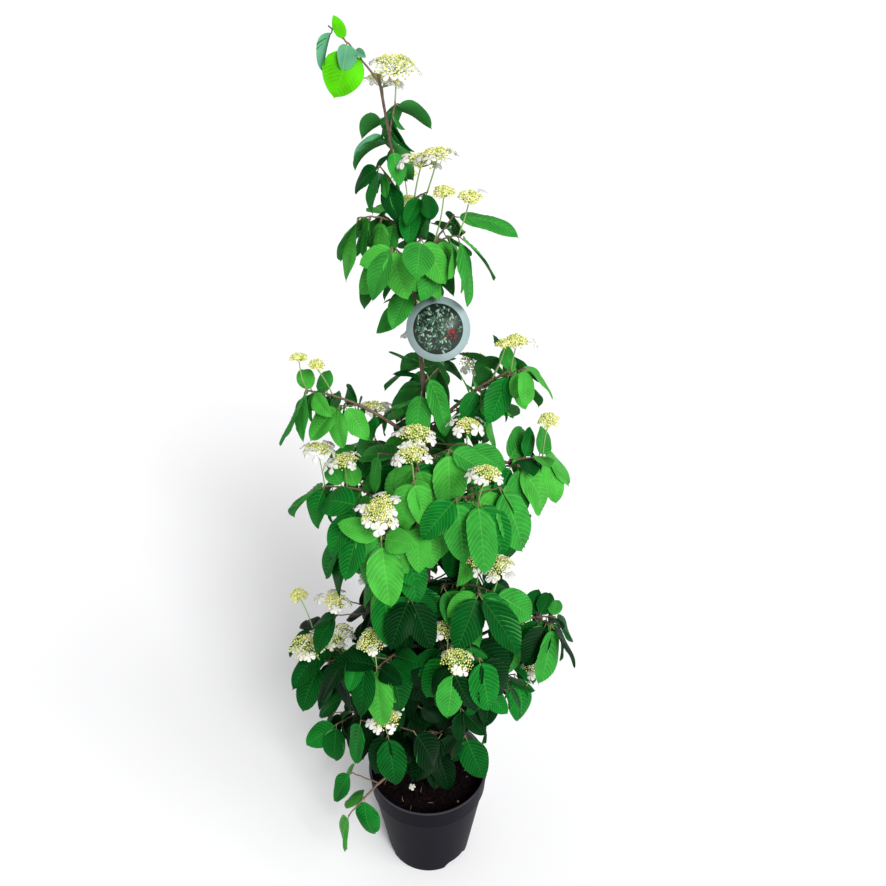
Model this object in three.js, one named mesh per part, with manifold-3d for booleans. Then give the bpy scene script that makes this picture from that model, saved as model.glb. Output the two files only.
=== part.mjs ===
// A doublefile viburnum, grown tall and narrow in a nursery pot.
// Millimetres, +Z up. The origin is the middle of the pot's flat foot.
// +Y is the far side of the plant, and +X is its right.
import * as THREE from 'three';
import { mergeVertices } from 'three/addons/utils/BufferGeometryUtils.js';
import Module from 'manifold-3d';

const wasm = await Module();
wasm.setup();

// Pot and soil
const POT_HEIGHT = 200;
const RIM_RADIUS = 100;
const FOOT_RADIUS = 70;
const SHOULDER_RADIUS = 94;
const COLLAR_HEIGHT = 40;
const COLLAR_STEP = 2.5;
const LIP = 4;
const POT_WALL = 2;
const FLOOR_LIFT = 12;
const FOOT_RING = 4;
const FOOT_MIDDLE = 44;
const FOOT_SLOPE = 6;
const NOTCH_COUNT = 3;
const NOTCH_HEADING = -47;
const NOTCH_WIDTH = 46;
const NOTCH_HEIGHT = 11;
const NOTCH_DEPTH = 36;
const SOIL_TOP = 176;
const SOIL_MOUND = 3;
const POT_SIDES = 20;

// Leader and the shorter stems beside it, all rooted in the soil
const ROOT_DEPTH = 25;
const STEM_FOOT = SOIL_TOP - ROOT_DEPTH;
const LEADER_TOP = 1342;
const LEADER_RADIUS = 5.5;
const LEADER_TIP_RADIUS = 1.5;
const ROOT_FLARE = 1.5;
const FOOT_SHIFT = 8;
const LEAN_START = 940;
const TOP_LEAN = 44;
const LEAN_POWER = 1.4;
const SWAY = 3;
const SWAY_LENGTH = 160;
const STEM_GAP = 16;
const STEM_RADIUS = 4;
const STEM_TIP_RADIUS = 2.4;
const STEMS = [
  { name: 'left', heading: 188, reach: 62, top: 476 },
  { name: 'right', heading: 352, reach: 62, top: 516 },
  { name: 'back', heading: 84, reach: 58, top: 496 },
];

// Shoots and twigs
const BOUGH_RADIUS = 2.7;
const BARE_SHOOT_RADIUS = 2.1;
const SHOOT_RADIUS = 1.7;
const TWIG_RADIUS = 1.5;
const TWIG_TIP_RADIUS = 1.4;
const ARCH = 0.12;
const NODE_SPACING = 38;
const TWIG_SHARE = 0.55;
const TWIG_LENGTH = 58;
const LONG_TWIG = 55;
const TWIG_ANGLE = 48;
const TWIG_SET = 1.6;

// Leaves: fewer than life and a little larger, each on a place of its own
const LEAF_GAIN = 1.08;
const LEAF_WIDTH = 0.56;
const LEAF_THICK = 1.5;
const LEAF_ARCH = 0.06;
const LOW_PAIR = { along: 0.3, half: 0.86, lift: 1 };
const HIGH_PAIR = { along: 0.68, half: 0.9, lift: 0.7 };
const BELLY = { along: 0.48, lift: 0.85 };
const PETIOLE_HALF = 0.55;
const PETIOLE_THICK = 0.7;
const LEAF_SET = 1.6;
const PAIR_STEP = 0.9;
const SMALL_LEAF = 50;
const ATTEMPTS = 12;

// Flower heads
const STALK_SHARE = 0.6;
const STALK_RADIUS = 0.9;
const HEAD_RADIUS = 17;
const HEAD_RISE = 9;
const HEAD_DOME = 6;
const HEAD_TILT = 12;
const FLORET_REACH = 13;
const FLORETS = 5;

// Clearances between solids, and the distance at which two points count as one
const GAP = 0.3;
const WELD = 0.001;
const GROUND_CLEAR = 12;

// Plant tag, on a strap round the leader
const TAG_RADIUS = 39;
const TAG_THICK = 1.2;
const TAG_HEIGHT = 1102;
const TAG_HEADING = 325;
const TAG_TILT = 30;
const TAG_SWING = 20;
const TAG_VIEW = 150;
const STRAP_WIDTH = 5;
const STRAP_THICK = 1;
const STRAP_REACH = 22;
const STRAP_DROP = 17;
const STRAP_LAP = 5;

// Sprays: the stem each leaves and at what height, its heading from +X towards +Y,
// its reach outward, its rise, the bare share of its length, its flower heads and leaf length
const spray = (name, stem, height, heading, reach, rise, bare, heads, leaf) => (
  { name, stem, height, heading, reach, rise, bare, heads, leaf }
);
const SPRAYS = [
  spray('trailing', 'left', 216, 222, 144, -22, 0.3, 0, 76),
  spray('low_left', 'left', 298, 180, 116, 36, 0, 0, 64),
  spray('low_front_left', 'left', 335, 262, 112, 82, 0, 2, 76),
  spray('low_front', 'leader', 262, 284, 66, 90, 0, 0, 72),
  spray('low_right', 'right', 350, 344, 100, 76, 0, 1, 78),
  spray('low_back_right', 'right', 320, 40, 110, 80, 0, 1, 76),
  spray('low_back', 'back', 310, 120, 104, 70, 0, 1, 76),
  spray('wide_left', 'left', 448, 200, 112, 44, 0.25, 3, 74),
  spray('wide_front_left', 'leader', 482, 238, 138, 76, 0.35, 1, 80),
  spray('wide_front', 'leader', 510, 284, 142, 66, 0.35, 2, 78),
  spray('wide_front_right', 'leader', 602, 318, 122, 70, 0, 2, 84),
  spray('inner_front', 'leader', 622, 236, 104, 58, 0, 1, 82),
  spray('inner_left', 'leader', 640, 164, 108, 70, 0, 0, 78),
  spray('inner_right', 'leader', 652, 22, 116, 64, 0, 1, 78),
  spray('wide_right', 'right', 502, 350, 122, 70, 0.25, 0, 80),
  spray('wide_back_left', 'back', 486, 140, 138, 76, 0.25, 1, 76),
  spray('wide_back_right', 'back', 460, 52, 130, 80, 0.25, 1, 76),
  spray('middle_left', 'leader', 732, 192, 138, 84, 0.35, 2, 74),
  spray('middle_front_left', 'leader', 738, 248, 146, 74, 0.35, 2, 80),
  spray('middle_front_right', 'leader', 748, 300, 134, 112, 0.35, 1, 82),
  spray('middle_right', 'leader', 760, 356, 156, 92, 0.35, 1, 78),
  spray('middle_back_left', 'leader', 706, 124, 136, 88, 0.35, 1, 76),
  spray('middle_back_right', 'leader', 770, 62, 132, 84, 0.35, 1, 76),
  spray('high_left', 'leader', 856, 180, 150, 92, 0.35, 2, 70),
  spray('high_front', 'leader', 834, 264, 114, 56, 0, 2, 78),
  spray('high_right', 'leader', 874, 6, 112, 96, 0.35, 2, 66),
  spray('high_back', 'leader', 848, 92, 118, 92, 0.35, 2, 72),
  spray('upper_right', 'leader', 1124, 348, 60, 40, 0, 2, 74),
  spray('upper_front', 'leader', 1112, 250, 56, 56, 0, 0, 78),
  spray('upper_left', 'leader', 1168, 186, 54, 14, 0, 0, 68),
  spray('upper_back', 'leader', 1068, 98, 72, 76, 0, 2, 70),
  spray('top_right', 'leader', 1186, 322, 38, 34, 0, 2, 54),
  spray('top_left', 'leader', 1208, 206, 24, 38, 0, 1, 48),
  spray('top_back', 'leader', 1240, 110, 30, 42, 0, 1, 46),
  spray('top_tip', 'leader', 1276, 60, 14, 34, 0, 2, 42),
  spray('top_shoot', 'leader', 1330, 180, 52, 62, 0, 0, 48),
];

// Colours, read as daylight on the real surfaces
const paint = (color, roughness) => new THREE.MeshStandardMaterial({ color, roughness, metalness: 0 });
const POT_PLASTIC = paint(0x26242b, 0.45);
const SOIL = paint(0x1d1612, 0.95);
const BARK = paint(0x4a362c, 0.8);
const FOLIAGE = paint(0x1f8a2e, 0.55);
const TAG_PLASTIC = paint(0xb9c6b4, 0.4);

// Small tools
const UP = new THREE.Vector3(0, 0, 1);
const radians = (degrees) => degrees * Math.PI / 180;
const compass = (heading) => new THREE.Vector3(Math.cos(radians(heading)), Math.sin(radians(heading)), 0);
const mix = (from, to, share) => from + (to - from) * share;
const blend = (...terms) => terms.reduce(
  (sum, [vector, weight]) => sum.addScaledVector(vector, weight), new THREE.Vector3());

// A number from 0 to 1 that depends only on a place's own two numbers
function chance(seed, draw) {
  const wave = Math.sin(seed * 12.9898 + draw * 78.233) * 43758.5453;
  return wave - Math.floor(wave);
}

function solidOf(geometry) {
  const bare = geometry.clone();
  bare.deleteAttribute('normal');
  bare.deleteAttribute('uv');
  const merged = mergeVertices(bare, 1e-4);
  return new wasm.Manifold(new wasm.Mesh({
    numProp: 3,
    vertProperties: new Float32Array(merged.attributes.position.array),
    triVerts: new Uint32Array(merged.index.array),
  }));
}

function solidFrom(points, faces) {
  const geometry = new THREE.BufferGeometry().setFromPoints(points);
  geometry.setIndex(faces.flat());
  return solidOf(geometry);
}

function geometryOf(solid) {
  const mesh = solid.getMesh();
  const geometry = new THREE.BufferGeometry();
  geometry.setAttribute('position', new THREE.BufferAttribute(mesh.vertProperties, 3));
  geometry.setIndex(new THREE.BufferAttribute(mesh.triVerts, 1));
  geometry.computeVertexNormals();
  return geometry;
}

// The largest piece of a solid, which leaves out scraps and sealed hollows
function largest(solid) {
  const pieces = solid.decompose();
  return pieces.reduce((best, piece) => (piece.volume() > best.volume() ? piece : best), pieces[0]);
}

const joined = (solids) => largest(wasm.Manifold.union(solids));

// Whether each edge still has one face on either side once points closer than the weld are one
function staysClosed(solid) {
  const welded = mergeVertices(geometryOf(solid).deleteAttribute('normal'), WELD);
  const corners = welded.index.array;
  const edges = new Map();
  for (let i = 0; i < corners.length; i += 3) {
    const face = [corners[i], corners[i + 1], corners[i + 2]];
    if (new Set(face).size === 3) {
      face.forEach((corner, k) => {
        const edge = `${corner} ${face[(k + 1) % 3]}`;
        edges.set(edge, (edges.get(edge) ?? 0) + 1);
      });
    }
  }
  const backward = (edge) => edge.split(' ').reverse().join(' ');
  return [...edges].every(([edge, count]) => count === 1 && edges.get(backward(edge)) === 1);
}

// A spray's solids in one; where two joints lie too close to weld, one leaf is left out
function joinedCleanly(solids) {
  const without = (extra) => solids.filter((solid) => solid !== extra);
  const choices = [solids, ...solids.slice(1).map(without).reverse()];
  const sound = choices.find((choice) => staysClosed(joined(choice)));
  return joined(sound ?? solids);
}

// A tapering limb along a path, with flat ends square to it
function limb(path, radius, sides, steps) {
  const nudge = 0.01;
  const steep = path(1).sub(path(0)).normalize().z > 0.9;
  const level = steep ? compass(90) : UP;
  const points = [];
  const faces = [];
  for (let step = 0; step <= steps; step += 1) {
    const share = step / steps;
    const along = path(Math.min(share + nudge, 1)).sub(path(Math.max(share - nudge, 0))).normalize();
    const across = new THREE.Vector3().crossVectors(along, level).normalize();
    const out = new THREE.Vector3().crossVectors(across, along);
    for (let side = 0; side < sides; side += 1) {
      const angle = 2 * Math.PI * side / sides;
      const size = radius(share);
      points.push(blend([path(share), 1], [across, Math.cos(angle) * size], [out, Math.sin(angle) * size]));
      const [here, next] = [step * sides + side, step * sides + (side + 1) % sides];
      if (step < steps) {
        faces.push([here, here + sides, next], [next, here + sides, next + sides]);
      }
    }
  }
  for (let side = 1; side + 1 < sides; side += 1) {
    const last = steps * sides;
    faces.push([0, side, side + 1], [last, last + side + 1, last + side]);
  }
  return solidFrom(points, faces);
}

const taper = (root, tip) => (share) => mix(root, tip, share);
const straight = (from, to) => (share) => from.clone().lerp(to, share);
const stretch = (path, start, end) => (share) => path(mix(start, end, share));

// Pot and soil: the floor is raised in a ring, with its middle and its outer ring on the ground
const POT_SHOULDER = POT_HEIGHT - COLLAR_HEIGHT;
const COLLAR_RADIUS = SHOULDER_RADIUS + COLLAR_STEP;
const wallRadius = (height) => mix(FOOT_RADIUS, SHOULDER_RADIUS, height / POT_SHOULDER);

// The upper side of the pot's floor and the inner side of its wall, moved inward by an extra
function innerProfile(extra) {
  const wall = POT_WALL + extra;
  const floor = FLOOR_LIFT + wall;
  return [
    [0, wall], [FOOT_MIDDLE - wall, wall], [FOOT_MIDDLE + FOOT_SLOPE - wall, floor],
    [wallRadius(floor) - wall, floor], [SHOULDER_RADIUS - wall, POT_SHOULDER - COLLAR_STEP + extra],
    [COLLAR_RADIUS - wall, POT_SHOULDER + extra],
  ];
}

function potProfile() {
  const lip = POT_HEIGHT - LIP;
  const mouth = RIM_RADIUS - 2 * POT_WALL;
  return [
    [0, 0], [FOOT_MIDDLE, 0], [FOOT_MIDDLE + FOOT_SLOPE, FLOOR_LIFT],
    [FOOT_RADIUS - FOOT_RING, FLOOR_LIFT], [FOOT_RADIUS - FOOT_RING + 1, 0], [FOOT_RADIUS, 0],
    [SHOULDER_RADIUS, POT_SHOULDER - COLLAR_STEP], [COLLAR_RADIUS, POT_SHOULDER],
    [RIM_RADIUS - 1.5, lip], [RIM_RADIUS, lip], [RIM_RADIUS, POT_HEIGHT], [mouth, POT_HEIGHT], [mouth, lip],
    ...innerProfile(0).reverse(),
  ];
}

function lathe(profile) {
  const outline = profile.map(([radius, height]) => new THREE.Vector2(radius, height));
  const shape = new THREE.LatheGeometry(outline, POT_SIDES);
  return solidOf(shape.rotateX(Math.PI / 2));
}

// One arched notch through the foot ring, low enough to miss the floor
function notch(heading) {
  const shape = new THREE.CylinderGeometry(NOTCH_WIDTH / 2, NOTCH_WIDTH / 2, NOTCH_DEPTH, 8);
  shape.scale(1, 1, NOTCH_HEIGHT / (NOTCH_WIDTH / 2));
  shape.rotateZ(Math.PI / 2);
  shape.translate(FOOT_RADIUS, 0, 0);
  shape.rotateZ(radians(heading));
  return solidOf(shape);
}

function pot() {
  let body = lathe(potProfile());
  for (let i = 0; i < NOTCH_COUNT; i += 1) {
    body = body.subtract(notch(NOTCH_HEADING + i * 360 / NOTCH_COUNT));
  }
  return body;
}

function soil(rooted) {
  const edge = COLLAR_RADIUS - POT_WALL - GAP;
  const mound = [[edge, SOIL_TOP - SOIL_MOUND], [edge * 0.6, SOIL_TOP], [0, SOIL_TOP]];
  const body = lathe([...innerProfile(GAP), ...mound]);
  return rooted.reduce((rest, stem) => rest.subtract(stem), body);
}

// Leader and stems
function leaderAt(height) {
  const lean = height < LEAN_START
    ? FOOT_SHIFT * (LEAN_START - height) / (LEAN_START - SOIL_TOP)
    : -TOP_LEAN * ((height - LEAN_START) / (LEADER_TOP - LEAN_START)) ** LEAN_POWER;
  return new THREE.Vector3(lean, SWAY * Math.sin(height / SWAY_LENGTH), height);
}

function leaderRadius(height) {
  const flare = ROOT_FLARE * Math.exp(-Math.abs(height - SOIL_TOP) / 15);
  return mix(LEADER_RADIUS, LEADER_TIP_RADIUS, (height - STEM_FOOT) / (LEADER_TOP - STEM_FOOT)) + flare;
}

const leaderHeight = (share) => mix(STEM_FOOT, LEADER_TOP, share);
const leaderSolid = (extra) => limb(
  (share) => leaderAt(leaderHeight(share)), (share) => leaderRadius(leaderHeight(share)) + extra, 6, 15);

// A stem bows outward from beside the leader's foot
function stemAt(stem, height) {
  const share = (height - STEM_FOOT) / (stem.top - STEM_FOOT);
  const bow = 1 - (1 - share) ** 1.6;
  return blend([leaderAt(STEM_FOOT), 1], [compass(stem.heading), mix(STEM_GAP, stem.reach, bow)],
    [UP, height - STEM_FOOT]);
}

const stemSolid = (stem, extra) => limb(
  (share) => stemAt(stem, mix(STEM_FOOT, stem.top, share)),
  (share) => mix(STEM_RADIUS, STEM_TIP_RADIUS, share) + extra, 5, 5);

// The path of a spray from its stem's middle to its tip
function sprayPath(place) {
  const stem = STEMS.find((one) => one.name === place.stem);
  const root = stem ? stemAt(stem, place.height) : leaderAt(place.height);
  const out = compass(place.heading);
  const arch = ARCH * place.reach;
  return (share) => blend([root, 1], [out, place.reach * share],
    [UP, place.rise * share + arch * 4 * share * (1 - share)]);
}

const pathLength = (place) => Math.hypot(place.reach, place.rise);
const shootRadius = (place) => taper(place.bare > 0 ? BOUGH_RADIUS : BARE_SHOOT_RADIUS, SHOOT_RADIUS);

// A leaf is a thin closed blade with a narrow root, broad shoulders and a pointed, hanging tip
function blade(root, along, face, length) {
  const across = new THREE.Vector3().crossVectors(face, along).normalize();
  const normal = new THREE.Vector3().crossVectors(along, across).normalize();
  const half = length * LEAF_WIDTH / 2;
  const arch = length * LEAF_ARCH;
  const at = (forward, side, lift) => blend([root, 1], [along, forward], [across, side], [normal, lift]);
  const pair = (place, side) => at(length * place.along, side * half * place.half, arch * place.lift);
  const points = [
    at(0, PETIOLE_HALF, 0), at(0, -PETIOLE_HALF, 0), at(0, 0, -PETIOLE_THICK),
    pair(LOW_PAIR, 1), pair(LOW_PAIR, -1), pair(HIGH_PAIR, 1), pair(HIGH_PAIR, -1),
    at(length, 0, -arch), at(length * BELLY.along, 0, arch * BELLY.lift - LEAF_THICK),
  ];
  const [rootLeft, rootRight, rootBelow, lowLeft, lowRight, highLeft, highRight, tip, belly] = points.keys();
  const rim = [rootRight, lowRight, highRight, tip, highLeft, lowLeft, rootLeft];
  const faces = [
    [rootLeft, rootRight, lowRight], [rootLeft, lowRight, lowLeft], [lowLeft, lowRight, highRight],
    [lowLeft, highRight, highLeft], [highLeft, highRight, tip],
    [rootRight, rootLeft, rootBelow], [rootBelow, rootLeft, belly], [rootRight, rootBelow, belly],
  ];
  for (let i = 0; i + 1 < rim.length; i += 1) {
    faces.push([rim[i + 1], rim[i], belly]);
  }
  return solidFrom(points, faces);
}

// A flower head is a shallow dome of buds on a stalk, with large florets as lobes round its rim
function head(root, top, seed) {
  const lean = (draw) => radians(mix(-HEAD_TILT, HEAD_TILT, chance(seed, draw)));
  const tilt = new THREE.Euler(lean(3), lean(4), 0);
  const points = [new THREE.Vector3(0, 0, HEAD_RISE + HEAD_DOME)];
  const faces = [[1, 2, 3]];
  for (const middle of [root.clone().sub(top), new THREE.Vector3()]) {
    for (let i = 0; i < 3; i += 1) {
      points.push(blend([middle, 1], [compass(-120 * i), STALK_RADIUS]));
    }
  }
  for (let i = 0; i < 3; i += 1) {
    const next = (i + 1) % 3;
    faces.push([1 + i, 4 + i, 4 + next], [1 + i, 4 + next, 1 + next]);
  }
  const rim = 2 * FLORETS;
  const corner = (i) => 4 + (3 - Math.round(3 * i / rim) % 3) % 3;
  for (let i = 0; i < rim; i += 1) {
    const reach = i % 2 === 0 ? HEAD_RADIUS + FLORET_REACH * mix(0.6, 1, chance(seed, 10 + i)) : HEAD_RADIUS;
    const spot = compass(360 * (i + 0.5 * chance(seed, 5)) / rim).multiplyScalar(reach).setZ(HEAD_RISE);
    points.push(spot.applyEuler(tilt));
    const [here, next] = [7 + i, 7 + (i + 1) % rim];
    faces.push([0, here, next], [corner(i), next, here]);
    if (corner(i) !== corner(i + 1)) {
      faces.push([corner(i), corner(i + 1), next]);
    }
  }
  return solidFrom(points.map((point) => point.add(top)), faces);
}

// Room: every solid placed so far, with its box, its owner and its place in the owner
const room = [];

function claim(solid, owner, place) {
  room.push({ solid, owner, place, box: solid.boundingBox() });
}

function near(box, other) {
  return [0, 1, 2].every((axis) => (
    box.min[axis] - GAP < other.max[axis] && box.max[axis] + GAP > other.min[axis]));
}

// A new piece is kept where it clears other owners' solids, and its own owner's leaves
function fits(solid, owner, place, leafOnly) {
  const box = solid.boundingBox();
  if (box.min[2] < GROUND_CLEAR) {
    return false;
  }
  return room.every((other) => {
    if (!near(box, other.box)) {
      return true;
    }
    if (other.owner !== owner) {
      return solid.minGap(other.solid, 1) > GAP;
    }
    if (!leafOnly || other.place === null || other.place === place) {
      return true;
    }
    return solid.intersect(other.solid).isEmpty();
  });
}

// The shoots of one spray: its own, then twigs in pairs from its nodes
function shootsOf(place, index) {
  const path = sprayPath(place);
  const start = place.bare > 0 ? place.bare + GAP / pathLength(place) : 0;
  const nodes = Math.max(2, Math.round(pathLength(place) * (1 - place.bare) / NODE_SPACING));
  const main = {
    path: stretch(path, start, 1),
    radius: stretch(shootRadius(place), start, 1),
    sides: 4,
    steps: nodes,
    nodes: Array.from({ length: nodes }, (_, i) => (i + 1) / nodes),
    length: pathLength(place) * (1 - start),
  };
  const shoots = [main];
  for (let i = 0; i + 1 < nodes; i += 1) {
    for (const side of [-1, 1]) {
      const seed = index * 100 + i * 10 + (side + 1) * 2;
      if (place.leaf > SMALL_LEAF && chance(seed, 1) < TWIG_SHARE) {
        shoots.push(twig(main, i, side, seed));
      }
    }
  }
  return shoots;
}

function directionOf(path, share) {
  return path(share).sub(path(share - 0.02)).normalize();
}

function twig(main, node, side, seed) {
  const root = main.path(main.nodes[node] + side * TWIG_SET / main.length);
  const along = directionOf(main.path, main.nodes[node]);
  const across = new THREE.Vector3().crossVectors(along, UP).normalize();
  const angle = radians(TWIG_ANGLE + 14 * (chance(seed, 2) - 0.5));
  const length = TWIG_LENGTH * mix(0.7, 1.15, chance(seed, 3));
  const lift = mix(0.05, 0.45, chance(seed, 4));
  const aim = blend([along, Math.cos(angle)], [across, side * Math.sin(angle)], [UP, lift]).normalize();
  const tip = blend([root, 1], [aim, length]);
  const nodes = length > LONG_TWIG ? [0.55, 1] : [1];
  const radius = taper(TWIG_RADIUS, TWIG_TIP_RADIUS);
  return { path: straight(root, tip), radius, sides: 3, steps: 1, nodes, length, from: node, side };
}

// Flower stalks rise from the outer nodes of the main shoot, then from the twigs' tips
function stalks(shoots, place, index) {
  const [main, ...twigs] = shoots;
  const spots = [...main.nodes.map((share) => [main, share]).reverse(), ...twigs.map((shoot) => [shoot, 1])];
  const length = STALK_SHARE * place.leaf;
  return spots.slice(0, place.heads + 2).map(([shoot, share], i) => {
    const seed = index * 100 + 91 + i;
    const root = shoot.path(share * (1 - 1 / shoot.length));
    const tip = blend([root, 1], [UP, length * mix(0.75, 1.15, chance(seed, 1))],
      [directionOf(shoot.path, share), length * mix(0, 0.5, chance(seed, 2))]);
    return { root, tip, seed };
  });
}

// Leaf places: a pair at every node of every shoot that no twig has taken
function leafPlaces(shoots, index) {
  const places = [];
  shoots.forEach((shoot, order) => {
    shoot.nodes.forEach((share, node) => {
      for (const side of [-1, 1]) {
        const taken = order === 0 && shoots.some((one) => one.from === node && one.side === side);
        if (!taken) {
          const seed = index * 1000 + order * 100 + node * 10 + side + 1;
          places.push({ shoot, share, side, seed, key: order * 10 + node, last: share === 1 });
        }
      }
    });
  });
  return places.sort((one, two) => two.share - one.share);
}

function leafAt(spot, place, attempt) {
  const draw = (k) => chance(spot.seed, attempt * 10 + k);
  const root = spot.shoot.path(spot.share - (LEAF_SET + spot.side * PAIR_STEP) / spot.shoot.length);
  const along = directionOf(spot.shoot.path, spot.share);
  const across = new THREE.Vector3().crossVectors(along, UP).normalize();
  const spread = spot.last ? mix(0.3, 0.7, draw(1)) : mix(0.7, 1, draw(1));
  const ahead = spot.last ? 0.8 : mix(0.15, 0.6, draw(2));
  const droop = mix(0.6, 2.4, draw(3));
  const aim = blend([across, spot.side * spread], [along, ahead], [UP, -droop]).normalize();
  const outward = new THREE.Vector3(root.x, root.y, 0).normalize();
  const face = blend([UP, 1], [outward, mix(0.3, 1, draw(4))], [across, spot.side * mix(-0.3, 0.3, draw(5))]);
  const length = LEAF_GAIN * place.leaf * mix(spot.last ? 0.72 : 0.85, 1.12, draw(6));
  return blade(root, aim, face, length);
}

// The tag is a round plate that leans back and a little aside under its strap
const tagTurn = new THREE.Matrix4().makeRotationY(radians(-TAG_SWING))
  .multiply(new THREE.Matrix4().makeRotationX(radians(90 - TAG_TILT)));
const tagUp = new THREE.Vector3(0, 1, 0).transformDirection(tagTurn);
const tagFace = new THREE.Vector3(0, 0, 1).transformDirection(tagTurn);
const tagTop = blend(
  [leaderAt(TAG_HEIGHT), 1], [compass(TAG_HEADING), leaderRadius(TAG_HEIGHT) + STRAP_REACH], [UP, -STRAP_DROP]);
const tagMiddle = blend([tagTop, 1], [tagUp, -TAG_RADIUS]);

function tagPlate(radius, thick, forward) {
  const plate = new THREE.CylinderGeometry(radius, radius, thick, 28).rotateX(Math.PI / 2);
  const middle = blend([tagMiddle, 1], [tagFace, forward]);
  plate.applyMatrix4(tagTurn);
  plate.translate(middle.x, middle.y, middle.z);
  return solidOf(plate);
}

// The strap is a band round the leader with a tongue down to the plate's top edge
function tagStrap(leaderRoom, plateRoom) {
  const inner = leaderRadius(TAG_HEIGHT) + 2 * GAP;
  const outer = inner + STRAP_THICK;
  const section = [[inner, -1], [outer, -1], [outer, 1], [inner, 1], [inner, -1]];
  const outline = section.map(([radius, end]) => new THREE.Vector2(radius, end * STRAP_WIDTH / 2));
  const band = new THREE.LatheGeometry(outline, 12).rotateX(Math.PI / 2);
  const top = leaderAt(TAG_HEIGHT);
  band.translate(top.x, top.y, top.z);
  const from = blend([top, 1], [compass(TAG_HEADING), inner + STRAP_THICK / 2]);
  const tongue = limb(straight(from, blend([tagTop, 1], [tagUp, -STRAP_LAP])), () => STRAP_WIDTH / 2, 4, 1);
  return largest(solidOf(band).add(tongue).subtract(leaderRoom).subtract(plateRoom));
}

// The plant is laid out: limbs and tag, then shoots and flower heads, then leaves by turns
const leader = leaderSolid(0);
const leaderRoom = leaderSolid(GAP);
const stems = STEMS.map((stem) => ({ ...stem, solid: stemSolid(stem, 0), room: stemSolid(stem, GAP) }));
const roomOf = (name) => (name === 'leader' ? leaderRoom : stems.find((stem) => stem.name === name).room);
const tag = tagPlate(TAG_RADIUS, TAG_THICK, 0);
const strap = tagStrap(leaderRoom, tagPlate(TAG_RADIUS + GAP, TAG_THICK + 2 * GAP, 0));

claim(leader, 'leader', null);
stems.forEach((stem) => claim(stem.solid, `stem_${stem.name}`, null));
claim(lathe([[0, 0], [FOOT_RADIUS, 0], [RIM_RADIUS, POT_HEIGHT], [0, SOIL_TOP]]), 'pot', null);
claim(tag, 'tag', null);
claim(strap, 'tag', null);
claim(tagPlate(TAG_RADIUS * 0.85, TAG_VIEW, TAG_VIEW / 2), 'tag', null);

const sprays = SPRAYS.map((place, order) => {
  const index = order + 1;
  const path = sprayPath(place);
  const radius = shootRadius(place);
  const grown = { ...place, index, shoots: shootsOf(place, index), solids: [], bough: null };
  if (place.bare > 0) {
    const bough = limb(stretch(path, 0, place.bare), stretch(radius, 0, place.bare), 4, 2);
    grown.bough = largest(bough.subtract(roomOf(place.stem)));
    claim(grown.bough, `bough_${place.name}`, null);
  }
  const [main] = grown.shoots;
  const shoot = limb(main.path, main.radius, main.sides, main.steps);
  grown.solids.push(place.bare > 0 ? shoot : largest(shoot.subtract(roomOf(place.stem))));
  claim(grown.solids[0], place.name, null);
  return grown;
});

sprays.forEach((grown) => {
  const [main, ...twigs] = grown.shoots;
  const kept = twigs.filter((shoot) => {
    const solid = limb(shoot.path, shoot.radius, shoot.sides, shoot.steps);
    const clear = fits(solid, grown.name, null, false);
    if (clear) {
      grown.solids.push(solid);
      claim(solid, grown.name, null);
    }
    return clear;
  });
  grown.shoots = [main, ...kept];
});

sprays.forEach((grown) => {
  let count = 0;
  stalks(grown.shoots, grown, grown.index).forEach(({ root, tip, seed }) => {
    const solid = head(root, tip, seed);
    if (count < grown.heads && fits(solid, grown.name, null, false)) {
      grown.solids.push(solid);
      claim(solid, grown.name, `head ${count}`);
      count += 1;
    }
  });
});

const waiting = sprays.map((grown) => leafPlaces(grown.shoots, grown.index));
while (waiting.some((places) => places.length > 0)) {
  waiting.forEach((places, i) => {
    const spot = places.shift();
    const grown = sprays[i];
    for (let attempt = 0; spot && attempt < ATTEMPTS; attempt += 1) {
      const leaf = leafAt(spot, grown, attempt);
      if (fits(leaf, grown.name, spot.key, true)) {
        grown.solids.push(leaf);
        claim(leaf, grown.name, spot.key);
        break;
      }
    }
  });
}

// The whole plant
const plant = new THREE.Group();

function add(name, solid, material) {
  const mesh = new THREE.Mesh(geometryOf(solid), material);
  mesh.name = name;
  plant.add(mesh);
}

add('pot', pot(), POT_PLASTIC);
add('soil', soil([leaderRoom, ...stems.map((stem) => stem.room)]), SOIL);
add('leader', leader, BARK);
stems.forEach((stem) => add(`stem_${stem.name}`, stem.solid, BARK));
add('tag_plate', tag, TAG_PLASTIC);
add('tag_strap', strap, TAG_PLASTIC);
sprays.forEach((grown) => {
  if (grown.bough) {
    add(`bough_${grown.name}`, grown.bough, BARK);
  }
  add(`foliage_${grown.name}`, joinedCleanly(grown.solids), FOLIAGE);
});

export default plant;
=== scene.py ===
"""A potted doublefile viburnum in flower, on a plain pale floor.

The growth rule works in millimetres, and every finished point is turned to metres by MM.
"""
import math

import bpy
import numpy as np
from mathutils import Euler, Matrix, Vector, noise
from mathutils.bvhtree import BVHTree


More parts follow.
